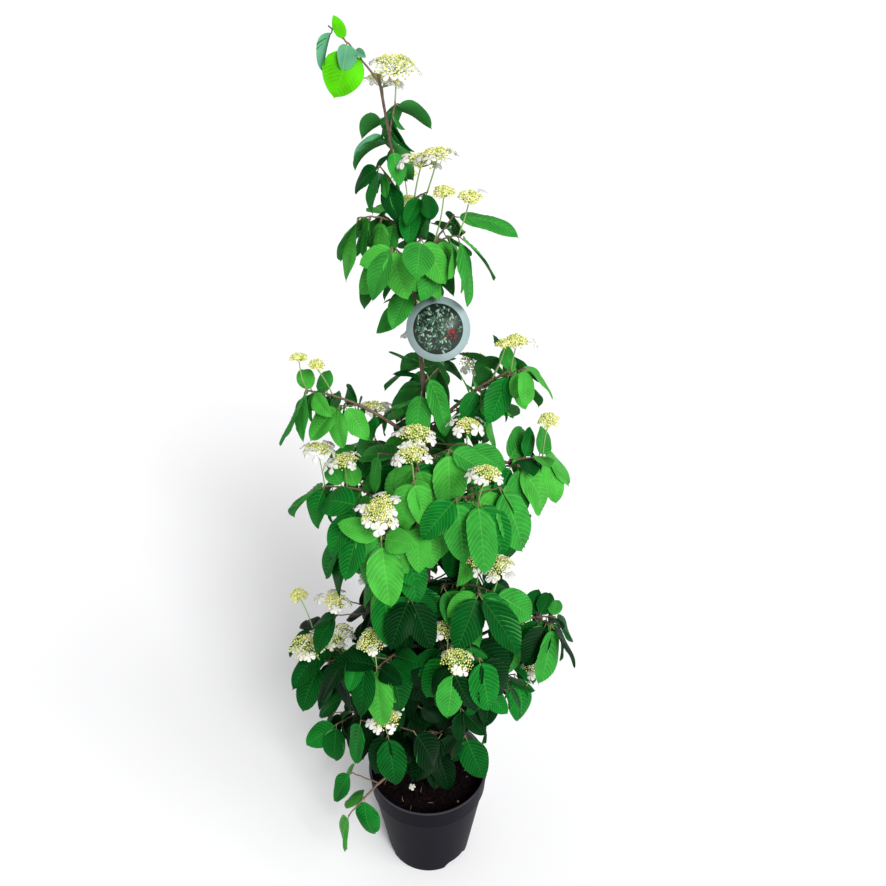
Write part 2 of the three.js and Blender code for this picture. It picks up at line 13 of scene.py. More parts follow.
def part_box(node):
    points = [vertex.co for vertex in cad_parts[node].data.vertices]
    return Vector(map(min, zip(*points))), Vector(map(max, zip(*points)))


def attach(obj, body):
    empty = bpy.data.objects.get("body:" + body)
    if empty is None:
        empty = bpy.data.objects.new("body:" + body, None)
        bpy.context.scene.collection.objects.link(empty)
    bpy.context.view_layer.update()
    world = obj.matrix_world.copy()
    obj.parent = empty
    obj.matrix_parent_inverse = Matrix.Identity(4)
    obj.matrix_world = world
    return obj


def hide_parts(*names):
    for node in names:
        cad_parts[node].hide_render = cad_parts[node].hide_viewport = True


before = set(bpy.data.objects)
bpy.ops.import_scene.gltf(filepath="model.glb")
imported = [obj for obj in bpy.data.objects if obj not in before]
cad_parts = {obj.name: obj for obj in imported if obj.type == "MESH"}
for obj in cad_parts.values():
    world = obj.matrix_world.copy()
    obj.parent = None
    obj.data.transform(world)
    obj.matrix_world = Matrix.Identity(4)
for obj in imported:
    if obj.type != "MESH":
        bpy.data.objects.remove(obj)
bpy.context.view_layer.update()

MM = 0.001
RIGHT = Vector((1, 0, 0))
BACK = Vector((0, 1, 0))
UP = Vector((0, 0, 1))

# Pot and soil
POT_HEIGHT = 200
RIM_RADIUS = 100
FOOT_RADIUS = 70
SHOULDER_RADIUS = 94
COLLAR_HEIGHT = 40
COLLAR_STEP = 2.5
LIP = 4
POT_WALL = 2
FLOOR_LIFT = 12
FOOT_RING = 4
FOOT_MIDDLE = 44
FOOT_SLOPE = 6
NOTCH_COUNT = 3
NOTCH_HEADING = -47
NOTCH_WIDTH = 46
NOTCH_HEIGHT = 11
SOIL_TOP = 176
SOIL_MOUND = 3
SOIL_DIP = 1.6

# Leader and stems
ROOT_DEPTH = 25
STEM_FOOT = SOIL_TOP - ROOT_DEPTH
LEADER_TOP = 1342
LEADER_RADIUS = 5.5
LEADER_TIP_RADIUS = 1.5
ROOT_FLARE = 1.5
FLARE_HEIGHT = 15
FOOT_SHIFT = 8
LEAN_START = 940
TOP_LEAN = 44
LEAN_POWER = 1.4
SWAY = 3
SWAY_LENGTH = 160
STEM_GAP = 16
STEM_RADIUS = 4
STEM_TIP_RADIUS = 2.4
STEM_BOW = 1.6
STEMS = {
    "left": dict(heading=188, reach=62, top=476),
    "right": dict(heading=352, reach=62, top=516),
    "back": dict(heading=84, reach=58, top=496),
}

# Shoots and twigs
BOUGH_RADIUS = 2.7
BARE_SHOOT_RADIUS = 2.1
SHOOT_RADIUS = 1.7
SHOOT_TIP_RADIUS = 1.1
TWIG_RADIUS = 1.3
TWIG_TIP_RADIUS = 0.9
TWIG_ROOM = (1.5, 1.4)
ARCH = 0.12
NODE_SPACING = 38
TWIG_SHARE = 0.55
TWIG_LENGTH = 58
LONG_TWIG = 55
TWIG_ANGLE = 48
TWIG_SET = 1.6
GAP = 0.3

# Leaves
LEAF_GAIN = 1.08
LEAF_WIDTH = 0.56
LEAF_THICK = 1.5
LEAF_ARCH = 0.06
LOW_PAIR = (0.3, 0.86, 1)
HIGH_PAIR = (0.68, 0.9, 0.7)
BELLY = (0.48, 0.85)
PETIOLE_HALF = 0.55
PETIOLE_THICK = 0.7
LEAF_SET = 1.6
PAIR_STEP = 0.9
SMALL_LEAF = 50
ATTEMPTS = 12
# How far a leaf may turn about its own midrib, in degrees
LEAF_ROLL = 24
SPUR_ROLL = 38
YOUNG_ROLL = 6

# Flower heads
STALK_SHARE = 0.6
HEAD_RADIUS = 17
HEAD_RISE = 9
HEAD_DOME = 6
HEAD_TILT = 12
FLORET_REACH = 13
FLORETS = 5

# Plant tag
TAG_RADIUS = 39
TAG_THICK = 1.2
TAG_HEIGHT = 1102
TAG_HEADING = 325
TAG_TILT = 30
TAG_SWING = 20
TAG_VIEW = 150
STRAP_WIDTH = 5
STRAP_THICK = 1
STRAP_REACH = 22
STRAP_DROP = 17
STRAP_LAP = 5


def spray(name, stem, height, heading, reach, rise, bare, heads, leaf):
    return dict(name=name, stem=stem, height=height, heading=heading, reach=reach,
                rise=rise, bare=bare, heads=heads, leaf=leaf)


SPRAYS = [
    spray("trailing", "left", 216, 222, 144, -22, 0.3, 0, 76),
    spray("low_left", "left", 298, 180, 116, 36, 0, 0, 64),
    spray("low_front_left", "left", 335, 262, 112, 82, 0, 2, 76),
    spray("low_front", "leader", 262, 284, 66, 90, 0, 0, 72),
    spray("low_right", "right", 350, 344, 100, 76, 0, 1, 78),
    spray("low_back_right", "right", 320, 40, 110, 80, 0, 1, 76),
    spray("low_back", "back", 310, 120, 104, 70, 0, 1, 76),
    spray("wide_left", "left", 448, 200, 112, 44, 0.25, 3, 74),
    spray("wide_front_left", "leader", 482, 238, 138, 76, 0.35, 1, 80),
    spray("wide_front", "leader", 510, 284, 142, 66, 0.35, 2, 78),
    spray("wide_front_right", "leader", 602, 318, 122, 70, 0, 2, 84),
    spray("inner_front", "leader", 622, 236, 104, 58, 0, 1, 82),
    spray("inner_left", "leader", 640, 164, 108, 70, 0, 0, 78),
    spray("inner_right", "leader", 652, 22, 116, 64, 0, 1, 78),
    spray("wide_right", "right", 502, 350, 122, 70, 0.25, 0, 80),
    spray("wide_back_left", "back", 486, 140, 138, 76, 0.25, 1, 76),
    spray("wide_back_right", "back", 460, 52, 130, 80, 0.25, 1, 76),
    spray("middle_left", "leader", 732, 192, 138, 84, 0.35, 2, 74),
    spray("middle_front_left", "leader", 738, 248, 146, 74, 0.35, 2, 80),
    spray("middle_front_right", "leader", 748, 300, 134, 112, 0.35, 1, 82),
    spray("middle_right", "leader", 760, 356, 156, 92, 0.35, 1, 78),
    spray("middle_back_left", "leader", 706, 124, 136, 88, 0.35, 1, 76),
    spray("middle_back_right", "leader", 770, 62, 132, 84, 0.35, 1, 76),
    spray("high_left", "leader", 856, 180, 150, 92, 0.35, 2, 70),
    spray("high_front", "leader", 834, 264, 114, 56, 0, 2, 78),
    spray("high_right", "leader", 874, 6, 112, 96, 0.35, 2, 66),
    spray("high_back", "leader", 848, 92, 118, 92, 0.35, 2, 72),
    spray("upper_right", "leader", 1124, 348, 60, 40, 0, 2, 74),
    spray("upper_front", "leader", 1112, 250, 56, 56, 0, 0, 78),
    spray("upper_left", "leader", 1168, 186, 54, 14, 0, 0, 68),
    spray("upper_back", "leader", 1068, 98, 72, 76, 0, 2, 70),
    spray("top_right", "leader", 1186, 322, 38, 34, 0, 2, 54),
    spray("top_left", "leader", 1208, 206, 24, 38, 0, 1, 48),
    spray("top_back", "leader", 1240, 110, 30, 42, 0, 1, 46),
    spray("top_tip", "leader", 1276, 60, 14, 34, 0, 2, 42),
    spray("top_shoot", "leader", 1330, 180, 52, 62, 0, 0, 48),
]
# How many of the sprays, in their order, each piece of the crown takes
GROUPS = {"low": 7, "wide": 10, "middle": 6, "high": 4, "top": 9}


# Small tools
def compass(heading):
    return Vector((math.cos(math.radians(heading)), math.sin(math.radians(heading)), 0))


def mix(start, end, share):
    return start + (end - start) * share


def clamp(value, low=0, high=1):
    return max(low, min(high, value))


def chance(seed, draw):
    """A number from 0 to 1 that depends only on a place's own two numbers."""
    wave = math.sin(seed * 12.9898 + draw * 78.233) * 43758.5453
    return wave - math.floor(wave)


def between(low, high, seed, draw):
    return mix(low, high, chance(seed, draw))


def in_disc(reach, seed, turn, away):
    """A spot within reach of the middle, by the numbers of its two draws."""
    return compass(360 * chance(seed, turn)) * reach * math.sqrt(chance(seed, away))


def taper(root, tip):
    return lambda share: mix(root, tip, share)


def straight(start, end):
    return lambda share: start.lerp(end, share)


def stretch(path, start, end):
    return lambda share: path(mix(start, end, share))


def steps_of(path, count):
    """A path's values from its start to its end, at even shares."""
    return [path(i / count) for i in range(count + 1)]


def sample(path, length, spacing):
    return steps_of(path, max(2, int(length / spacing)))


def course(line, i):
    """The direction of a line at one of its points."""
    return (line[min(i + 1, len(line) - 1)] - line[max(i - 1, 0)]).normalized()


def sides_of(along, face):
    """The directions across and out of a leaf that points along and faces one way."""
    across = face.cross(along).normalized()
    return across, along.cross(across).normalized()


def placed(name, data):
    made = bpy.data.objects.new(name, data)
    bpy.context.scene.collection.objects.link(made)
    return made


# Materials
def srgb(red, green, blue):
    """A colour as seen, from 0 to 255, as the shader's linear colour."""
    def linear(value):
        value /= 255
        return value / 12.92 if value <= 0.04045 else ((value + 0.055) / 1.055) ** 2.4
    return (linear(red), linear(green), linear(blue), 1)


def material(name, colour, roughness, spread=0.12, scale=60, bump=0.0, bump_scale=400, shine=None):
    """A surface whose colour drifts a little round its own, with fine bump where asked."""
    made = bpy.data.materials.new(name)
    made.use_nodes = True
    nodes = made.node_tree.nodes
    link = made.node_tree.links.new
    shader = nodes["Principled BSDF"]
    shader.inputs["Roughness"].default_value = roughness
    if shine is not None:
        shader.inputs["Specular IOR Level"].default_value = shine
    where = nodes.new("ShaderNodeTexCoord")

    def grain(size, detail):
        texture = nodes.new("ShaderNodeTexNoise")
        texture.inputs["Scale"].default_value = size
        texture.inputs["Detail"].default_value = detail
        link(where.outputs["Object"], texture.inputs["Vector"])
        return texture.outputs["Fac"]
    ramp = nodes.new("ShaderNodeValToRGB")
    for stop, place, gain in zip(ramp.color_ramp.elements, (0.3, 0.7), (1 - spread, 1 + spread)):
        stop.position = place
        stop.color = [min(1, value * gain) for value in colour[:3]] + [1]
    link(grain(scale, 3), ramp.inputs["Fac"])
    link(ramp.outputs["Color"], shader.inputs["Base Color"])
    if bump:
        relief = nodes.new("ShaderNodeBump")
        relief.inputs["Strength"].default_value = bump
        relief.inputs["Distance"].default_value = 0.001
        link(grain(bump_scale, 4), relief.inputs["Height"])
        link(relief.outputs["Normal"], shader.inputs["Normal"])
    return made


# Veins are drawn paler towards a light green, partly for their own colour and partly as a painted sheen, so
# the share grows with the leaf's green
def paler(colour, share):
    goal = srgb(126, 208, 100)
    return tuple(mix(a, b, share) for a, b in zip(colour[:3], goal[:3])) + (1,)


# Each green of the leaves, and how much paler its veins are: the darker greens serve as painted shade for
# leaves inside and behind the crown, and the paler veins are partly painted sheen, stronger on the lighter
# greens
GREENS = [
    ("shaded", srgb(0, 30, 8), 0.04),
    ("deep", srgb(0, 42, 12), 0.055),
    ("dusky", srgb(2, 74, 22), 0.09),
    ("full", srgb(10, 106, 32), 0.16),
    ("open", srgb(44, 136, 47), 0.27),
    ("fresh", srgb(64, 160, 54), 0.32),
    ("lime", srgb(80, 188, 8), 0.14),
    ("silvery", srgb(92, 156, 120), 0.18),
]
FRESH = 5
LIME = 6
SILVERY = 7
LEAF_SHINE = 0.03
LEAF_SLOTS = [material(f"leaf_{name}", colour, 0.4, 0.22, 45, shine=LEAF_SHINE)
              for name, colour, share in GREENS]
# Vein strips: partly the veins' own colour, partly painted sheen
LEAF_SLOTS += [material(f"vein_{name}", paler(colour, share), 0.45, shine=LEAF_SHINE)
               for name, colour, share in GREENS]
LEAF_SLOTS.append(material("leaf_underside", srgb(52, 124, 56), 0.6, shine=LEAF_SHINE))
BARK = material("bark", srgb(92, 74, 62), 0.75, 0.35, 220, 0.5, 900)
TWIG_SLOTS = [material("young_bark", srgb(108, 88, 70), 0.6, 0.3, 160, 0.2, 900),
              material("green_stalk", srgb(140, 172, 98), 0.5),
              material("petiole", srgb(116, 112, 72), 0.5)]
PETALS = material("petals", srgb(226, 226, 218), 0.55, 0.03, 200)
FLORET_EYE = material("floret_eye", srgb(206, 214, 150), 0.6)
BLOSSOM_SLOTS = [material("buds", srgb(200, 208, 104), 0.6, 0.25, 300),
                 material("cream_buds", srgb(238, 234, 170), 0.6, 0.12, 300), PETALS, FLORET_EYE]
# The lip's flat top is painted lighter as painted light, and the band under the collar is painted near black
# as painted shadow
POT_SLOTS = [material("pot_plastic", srgb(13, 13, 22), 0.45, 0.08, 40, 0.12, 1500, 0.03),
             material("pot_lip_highlight", srgb(64, 62, 70), 0.4, 0.08, 40, 0.1, 1500, 0.1),
             material("pot_collar_shadow", srgb(5, 5, 8), 0.6, 0.08, 40, 0.1, 1500, 0.02)]
SOIL_SLOTS = [material("peat", srgb(17, 12, 13), 0.95, 0.5, 240, 0.9, 700, 0),
              material("peat_crumb", srgb(20, 16, 18), 0.95, 0.5, 300, 0.6, 900, 0),
              material("peat_fibre", srgb(50, 34, 28), 0.9, 0.3, 300, shine=0),
              material("pale_twig", srgb(156, 138, 112), 0.8, 0.2, 300), PETALS, FLORET_EYE]
TAG_CARD = material("tag_card", srgb(150, 172, 172), 0.35, 0.06, 40, 0.05)
TAG_SLOTS = [TAG_CARD, material("tag_dark", srgb(30, 44, 40), 0.35, 0.25, 90),
             material("tag_leaf", srgb(58, 96, 68), 0.35, 0.2, 300),
             material("tag_pale", srgb(140, 168, 148), 0.35, 0.1, 300),
             material("tag_red", srgb(170, 36, 44), 0.35, 0.2, 300)]


# Meshes gathered from many small shapes
class Piece:
    def __init__(self, name, materials):
        self.name = name
        self.materials = materials
        self.points = []
        self.faces = []
        self.kinds = []
        self.count = 0

    def add(self, points, faces, kinds):
        """Points in mm; faces of four corners, the last -1 for a triangle; a material number for each."""
        faces = np.asarray(faces, dtype=np.int64).reshape(-1, 4)
        self.points.append(np.asarray(points, dtype=float).reshape(-1, 3))
        self.faces.append(np.where(faces >= 0, faces + self.count, -1))
        self.kinds.append(np.broadcast_to(np.asarray(kinds, dtype=np.int64), (len(faces),)))
        self.count += len(self.points[-1])

    def build(self, slot, nodes=()):
        points = np.concatenate(self.points) * MM
        faces = np.concatenate(self.faces)
        kinds = np.concatenate(self.kinds)
        sizes = np.where(faces[:, 3] >= 0, 4, 3)
        corners = faces[faces >= 0]
        starts = np.concatenate([[0], np.cumsum(sizes)[:-1]])
        mesh = bpy.data.meshes.new(self.name)
        mesh.vertices.add(len(points))
        mesh.vertices.foreach_set("co", points.ravel())
        mesh.loops.add(len(corners))
        mesh.loops.foreach_set("vertex_index", corners.astype(np.int32))
        mesh.polygons.add(len(faces))
        mesh.polygons.foreach_set("loop_start", starts.astype(np.int32))
        mesh.polygons.foreach_set("material_index", kinds.astype(np.int32))
        for surface in self.materials:
            mesh.materials.append(surface)
        mesh.update(calc_edges=True)
        mesh.validate()
        mesh.shade_smooth()
        made = placed(self.name, mesh)
        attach(made, "root")
        if nodes:
            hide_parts(*nodes)


def circle(middle, across, out, sizes):
    """Points round a middle, one at each size."""
    turns = [2 * math.pi * side / len(sizes) for side in range(len(sizes))]
    return [middle + (across * math.cos(turn) + out * math.sin(turn)) * size
            for turn, size in zip(turns, sizes)]


def rows_of(count, wide, first=0):
    """The numbers of points that lie row by row."""
    return [[first + row * wide + column for column in range(wide)] for row in range(count)]


def net(rows, flip=False):
    """Faces between neighbouring rows of numbered points."""
    faces = [(low[i], low[i + 1], high[i + 1], high[i])
             for low, high in zip(rows, rows[1:]) for i in range(len(low) - 1)]
    return [(a, d, c, b) for a, b, c, d in faces] if flip else faces


def fan(middle, row):
    return [(middle, here, after, -1) for here, after in zip(row, row[1:])]


def loft(rings, start=None, end=None, flip=False):
    """A skin over rings of points, with a fan to a middle point at either end."""
    points = [] if start is None else [start]
    rows = [row + row[:1] for row in rows_of(len(rings), len(rings[0]), len(points))]
    points += [point for ring in rings for point in ring]
    faces = net(rows, flip)
    if start is not None:
        faces += fan(0, rows[0] if flip else rows[0][::-1])
    if end is not None:
        faces += fan(len(points), rows[-1][::-1] if flip else rows[-1])
        points.append(end)
    return np.array(points, dtype=float), faces


def tube(line, radii, sides, relief=None):
    """A tube along a line of points, closed at both ends; relief scales its radius by point and side."""
    across = course(line, 0).orthogonal().normalized()
    rings = []
    for i, point in enumerate(line):
        along = course(line, i)
        across = (across - along * across.dot(along)).normalized()
        sizes = [radii[i] * (relief(i, side) if relief else 1) for side in range(sides)]
        rings.append(circle(point, across, along.cross(across), sizes))
    return loft(rings, line[0], line[-1])


def turned(profile, sides, lift):
    """Rings of a turned shape, by radius and height; lift moves each point up by its place."""
    rings = []
    for radius, height in profile:
        spots = [compass(360 * side / sides) * max(radius, 0.01) for side in range(sides)]
        rings.append([spot + UP * (height + lift(spot, height)) for spot in spots])
    return rings


def ball(middle, radius, squash=1.0, segments=5, rings=2):
    tall = UP * radius * squash
    polars = [math.pi * (ring + 1) / (rings + 1) for ring in range(rings)]
    levels = [circle(middle + tall * math.cos(polar), RIGHT, BACK, [radius * math.sin(polar)] * segments)
              for polar in polars]
    return loft(levels, middle + tall, middle - tall, flip=True)


# Growth, as in the solids
def leader_at(height):
    if height < LEAN_START:
        lean = FOOT_SHIFT * (LEAN_START - height) / (LEAN_START - SOIL_TOP)
    else:
        lean = -TOP_LEAN * ((height - LEAN_START) / (LEADER_TOP - LEAN_START)) ** LEAN_POWER
    return Vector((lean, SWAY * math.sin(height / SWAY_LENGTH), height))


def leader_radius(height):
    flare = ROOT_FLARE * math.exp(-abs(height - SOIL_TOP) / FLARE_HEIGHT)
    share = (height - STEM_FOOT) / (LEADER_TOP - STEM_FOOT)
    return mix(LEADER_RADIUS, LEADER_TIP_RADIUS, share) + flare


def stem_path(stem):
    def stem_at(height):
        share = (height - STEM_FOOT) / (stem["top"] - STEM_FOOT)
        bow = 1 - max(0, 1 - share) ** STEM_BOW
        away = compass(stem["heading"]) * mix(STEM_GAP, stem["reach"], bow)
        return leader_at(STEM_FOOT) + away + UP * (height - STEM_FOOT)
    return stem_at


# The leader and the stems by name, each a path by height
PATHS = {"leader": leader_at} | {name: stem_path(stem) for name, stem in STEMS.items()}


def spray_path(place):
    root = PATHS[place["stem"]](place["height"])
    out = compass(place["heading"])
    arch = ARCH * place["reach"]
    return lambda share: (root + out * place["reach"] * share
                          + UP * (place["rise"] * share + arch * 4 * share * (1 - share)))


def path_length(place):
    return math.hypot(place["reach"], place["rise"])


def bough_taper(place):
    return taper(BOUGH_RADIUS, mix(BOUGH_RADIUS, SHOOT_RADIUS, place["bare"]))


def direction_of(path, share):
    return (path(share) - path(share - 0.02)).normalized()


def shoots_of(place):
    """The shoots of one spray: its own, then twigs in pairs from its nodes."""
    length = path_length(place)
    start = place["bare"] + GAP / length if place["bare"] > 0 else 0
    nodes = max(2, round(length * (1 - place["bare"]) / NODE_SPACING))
    root_radius = BOUGH_RADIUS if place["bare"] > 0 else BARE_SHOOT_RADIUS
    main = dict(path=stretch(spray_path(place), start, 1),
                radius=stretch(taper(root_radius, SHOOT_RADIUS), start, 1),
                nodes=[(i + 1) / nodes for i in range(nodes)], length=length * (1 - start))
    shoots = [main]
    for node in range(nodes - 1):
        for side in (-1, 1):
            seed = place["index"] * 100 + node * 10 + (side + 1) * 2
            if place["leaf"] > SMALL_LEAF and chance(seed, 1) < TWIG_SHARE:
                shoots.append(twig(main, node, side, seed))
    return shoots


def twig(main, node, side, seed):
    root = main["path"](main["nodes"][node] + side * TWIG_SET / main["length"])
    along = direction_of(main["path"], main["nodes"][node])
    across = along.cross(UP).normalized()
    angle = math.radians(TWIG_ANGLE + 14 * (chance(seed, 2) - 0.5))
    length = TWIG_LENGTH * between(0.7, 1.15, seed, 3)
    lift = between(0.05, 0.45, seed, 4)
    aim = (along * math.cos(angle) + across * side * math.sin(angle) + UP * lift).normalized()
    return dict(path=straight(root, root + aim * length), radius=taper(*TWIG_ROOM),
                nodes=[0.55, 1] if length > LONG_TWIG else [1], length=length, node=node, side=side)


def stalks_of(place):
    """Flower stalks rise from the outer nodes of the main shoot, then from the twigs' tips."""
    main, twigs = place["shoots"][0], place["shoots"][1:]
    spots = [(main, share) for share in reversed(main["nodes"])] + [(shoot, 1) for shoot in twigs]
    length = STALK_SHARE * place["leaf"]
    found = []
    for i, (shoot, share) in enumerate(spots[:place["heads"] + 2]):
        seed = place["index"] * 100 + 91 + i
        root = shoot["path"](share * (1 - 1 / shoot["length"]))
        top = (root + UP * length * between(0.75, 1.15, seed, 1)
               + direction_of(shoot["path"], share) * length * between(0, 0.5, seed, 2))
        found.append((root, top, seed))
    return found


def leaf_places(place):
    """A pair at every node of every shoot that no twig has taken."""
    taken = [(shoot["node"], shoot["side"]) for shoot in place["shoots"][1:]]
    places = []
    for order, shoot in enumerate(place["shoots"]):
        for node, share in enumerate(shoot["nodes"]):
            for side in (-1, 1):
                if order > 0 or (node, side) not in taken:
                    seed = place["index"] * 1000 + order * 100 + node * 10 + side + 1
                    places.append(dict(shoot=shoot, share=share, side=side, seed=seed,
                                       key=order * 10 + node, last=share == 1))
    return sorted(places, key=lambda spot: -spot["share"])


def leaf_at(spot, size, attempt):
    """Root, direction, facing and length of one leaf."""
    def draw(low, high, k):
        return between(low, high, spot["seed"], attempt * 10 + k)
    shoot = spot["shoot"]
    root = shoot["path"](spot["share"] - (LEAF_SET + spot["side"] * PAIR_STEP) / shoot["length"])
    along = direction_of(shoot["path"], spot["share"])
    across = along.cross(UP).normalized() * spot["side"]
    spread = draw(0.3, 0.7, 1) if spot["last"] else draw(0.7, 1, 1)
    ahead = 0.8 if spot["last"] else draw(0.15, 0.6, 2)
    aim = (across * spread + along * ahead - UP * draw(0.6, 2.4, 3)).normalized()
    outward = Vector((root.x, root.y, 0)).normalized()
    face = UP + outward * draw(0.3, 1, 4) + across * draw(-0.3, 0.3, 5)
    return root, aim, face, LEAF_GAIN * size * draw(0.72 if spot["last"] else 0.85, 1.12, 6)


# Coarse shapes that hold each piece's room while the plant grows
def rough_limb(path, radius, sides, steps):
    return tube(steps_of(path, steps), steps_of(radius, steps), sides)


def rough_leaf(root, along, face, length):
    across, normal = sides_of(along, face)
    half = length * LEAF_WIDTH / 2
    arch = length * LEAF_ARCH

    def at(forward, side, lift):
        return root + along * forward + across * side + normal * lift

    def pair(place, side):
        return at(length * place[0], side * half * place[1], arch * place[2])
    points = [at(0, PETIOLE_HALF, 0), at(0, -PETIOLE_HALF, 0), at(0, 0, -PETIOLE_THICK),
              pair(LOW_PAIR, 1), pair(LOW_PAIR, -1), pair(HIGH_PAIR, 1), pair(HIGH_PAIR, -1),
              at(length, 0, -arch), at(length * BELLY[0], 0, arch * BELLY[1] - LEAF_THICK)]
    rim = [1, 4, 6, 7, 5, 3, 0]
    faces = [(0, 1, 4, -1), (0, 4, 3, -1), (3, 4, 6, -1), (3, 6, 5, -1), (5, 6, 7, -1),
             (1, 0, 2, -1), (2, 0, 8, -1), (1, 2, 8, -1)]
    return np.array(points), faces + fan(8, rim)


def head_tilt(seed):
    lean = [math.radians(between(-HEAD_TILT, HEAD_TILT, seed, draw)) for draw in (3, 4)]
    return Euler((lean[0], lean[1], 0)).to_matrix()


def rough_head(root, top, seed):
    tilt = head_tilt(seed)
    rim = 2 * FLORETS
    points = [top + UP * (HEAD_RISE + HEAD_DOME), top, root]
    ring = [3 + i % rim for i in range(rim + 1)]
    for i in range(rim):
        reach = HEAD_RADIUS + (FLORET_REACH * between(0.6, 1, seed, 10 + i) if i % 2 == 0 else 0)
        spot = compass(360 * (i + 0.5 * chance(seed, 5)) / rim) * reach
        points.append(top + tilt @ (spot + UP * HEAD_RISE))
    return np.array(points), fan(0, ring) + fan(1, ring)


class Room:
    """Everything placed so far, with its owner, so that new growth can keep clear of it."""

    def __init__(self):
        self.low = np.zeros((0, 3))
        self.high = np.zeros((0, 3))
        self.entries = []

    @staticmethod
    def tree(points, faces):
        corners = [tuple(int(corner) for corner in face if corner >= 0) for face in faces]
        return BVHTree.FromPolygons([tuple(point) for point in points], corners)

    def claim(self, shape, owner, key=None):
        points, faces = shape
        self.low = np.vstack([self.low, points.min(0)])
        self.high = np.vstack([self.high, points.max(0)])
        self.entries.append((self.tree(points, faces), owner, key))

    def fits(self, shape, owner, key=None):
        """A shape with a key, as of a leaf, may cross its owner's limbs and what has the same key."""
        points, faces = shape
        low, high = points.min(0), points.max(0)
        if low[2] < LOWEST_GROWTH:
            return False
        near = np.nonzero(((low - GAP < self.high) & (high + GAP > self.low)).all(1))[0]
        tree = None
        for i in near:
            other, other_owner, other_key = self.entries[i]
            if other_owner == owner and (key is None or other_key is None or other_key == key):
                continue
            tree = tree or self.tree(points, faces)
            if tree.overlap(other):
                return False
        return True


LOWEST_GROWTH = 12
room = Room()

# Tag placement
TAG_TURN = (Matrix.Rotation(math.radians(-TAG_SWING), 3, "Y")
            @ Matrix.Rotation(math.radians(90 - TAG_TILT), 3, "X"))
TAG_RIGHT = TAG_TURN @ RIGHT
TAG_UP = TAG_TURN @ BACK
TAG_OUT = TAG_TURN @ UP
TAG_TOP = (leader_at(TAG_HEIGHT) + compass(TAG_HEADING) * (leader_radius(TAG_HEIGHT) + STRAP_REACH)
           - UP * STRAP_DROP)
TAG_MIDDLE = TAG_TOP - TAG_UP * TAG_RADIUS


def tag_point(spot, z):
    """A point in the tag's own plane, by a flat spot on it and its height above it."""
    return TAG_MIDDLE + TAG_RIGHT * spot.x + TAG_UP * spot.y + TAG_OUT * z


def disc(radius, low, high, sides):
    ends = [TAG_MIDDLE + TAG_OUT * z for z in (low, high)]
    return loft([circle(end, TAG_RIGHT, TAG_UP, [radius] * sides) for end in ends], *ends)


# The plant grows: limbs and tag, then shoots, twigs and flower heads, then leaves by turns
leader_line = stretch(leader_at, STEM_FOOT, LEADER_TOP)
leader_girth = stretch(leader_radius, STEM_FOOT, LEADER_TOP)
stem_lines = [stretch(PATHS[name], STEM_FOOT, stem["top"]) for name, stem in STEMS.items()]
stem_girth = taper(STEM_RADIUS, STEM_TIP_RADIUS)
room.claim(rough_limb(leader_line, leader_girth, 6, 15), "leader")
for line in stem_lines:
    room.claim(rough_limb(line, stem_girth, 5, 5), "stem")
room.claim(tube([UP * 0, UP * SOIL_TOP, UP * POT_HEIGHT],
                [FOOT_RADIUS, mix(FOOT_RADIUS, RIM_RADIUS, 0.85), RIM_RADIUS], 20), "pot")
room.claim(disc(TAG_RADIUS, -TAG_THICK / 2, TAG_THICK / 2, 20), "tag")
room.claim(disc(TAG_RADIUS * 0.85, 0, TAG_VIEW, 20), "tag")

sprays = []
for order, place in enumerate(SPRAYS):
    node = f"foliage_{place['name']}"
    grown = dict(place, index=order + 1, node=node, box=np.array(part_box(node)) / MM, heads_at=[], leaves=[])
    if place["bare"] > 0:
        path = stretch(spray_path(place), 0.02, place["bare"])
        room.claim(rough_limb(path, bough_taper(place), 4, 2), f"bough_{place['name']}")
    grown["shoots"] = shoots_of(grown)
    main = grown["shoots"][0]
    room.claim(rough_limb(main["path"], main["radius"], 4, len(main["nodes"])), place["name"])
    sprays.append(grown)

for grown in sprays:
    kept = grown["shoots"][:1]
    for shoot in grown["shoots"][1:]:
        shape = rough_limb(shoot["path"], shoot["radius"], 3, 1)
        if room.fits(shape, grown["name"]):
            room.claim(shape, grown["name"])
            kept.append(shoot)
    grown["shoots"] = kept

for grown in sprays:
    for head in stalks_of(grown):
        shape = rough_head(*head)
        if len(grown["heads_at"]) < grown["heads"] and room.fits(shape, grown["name"]):
            room.claim(shape, grown["name"], f"head {len(grown['heads_at'])}")
            grown["heads_at"].append(head)


def inside(shape, limits):
    points = shape[0]
    return (points.min(0) > limits[0]).all() and (points.max(0) < limits[1]).all()


def grow_leaf(grown, seed, make, key=None, limits=None):
    """Keeps the first try at a leaf that stays within its limits and clear of all else."""
    key = -1 - seed if key is None else key
    for attempt in range(ATTEMPTS):
        leaf = make(attempt)
        shape = rough_leaf(*leaf)
        if (limits is None or inside(shape, limits)) and room.fits(shape, grown["name"], key):
            room.claim(shape, grown["name"], key)
            grown["leaves"].append((leaf, seed, LEAF_ROLL if limits is None else SPUR_ROLL))
            return


waiting = [leaf_places(grown) for grown in sprays]
while any(waiting):
    for grown, places in zip(sprays, waiting):
        if places:
            spot = places.pop(0)
            grow_leaf(grown, spot["seed"], lambda attempt: leaf_at(spot, grown["leaf"], attempt),
                      spot["key"])

# Sprays over the pot that stay sparse, with the share of their leaves that is kept
SPARSE = {"trailing": 0.75, "low_front": 0.4, "low_front_left": 0.7, "low_right": 0.75}
for grown in sprays:
    share = SPARSE.get(grown["name"], 1)
    grown["leaves"] = [entry for entry in grown["leaves"] if chance(entry[1], 48) < share]

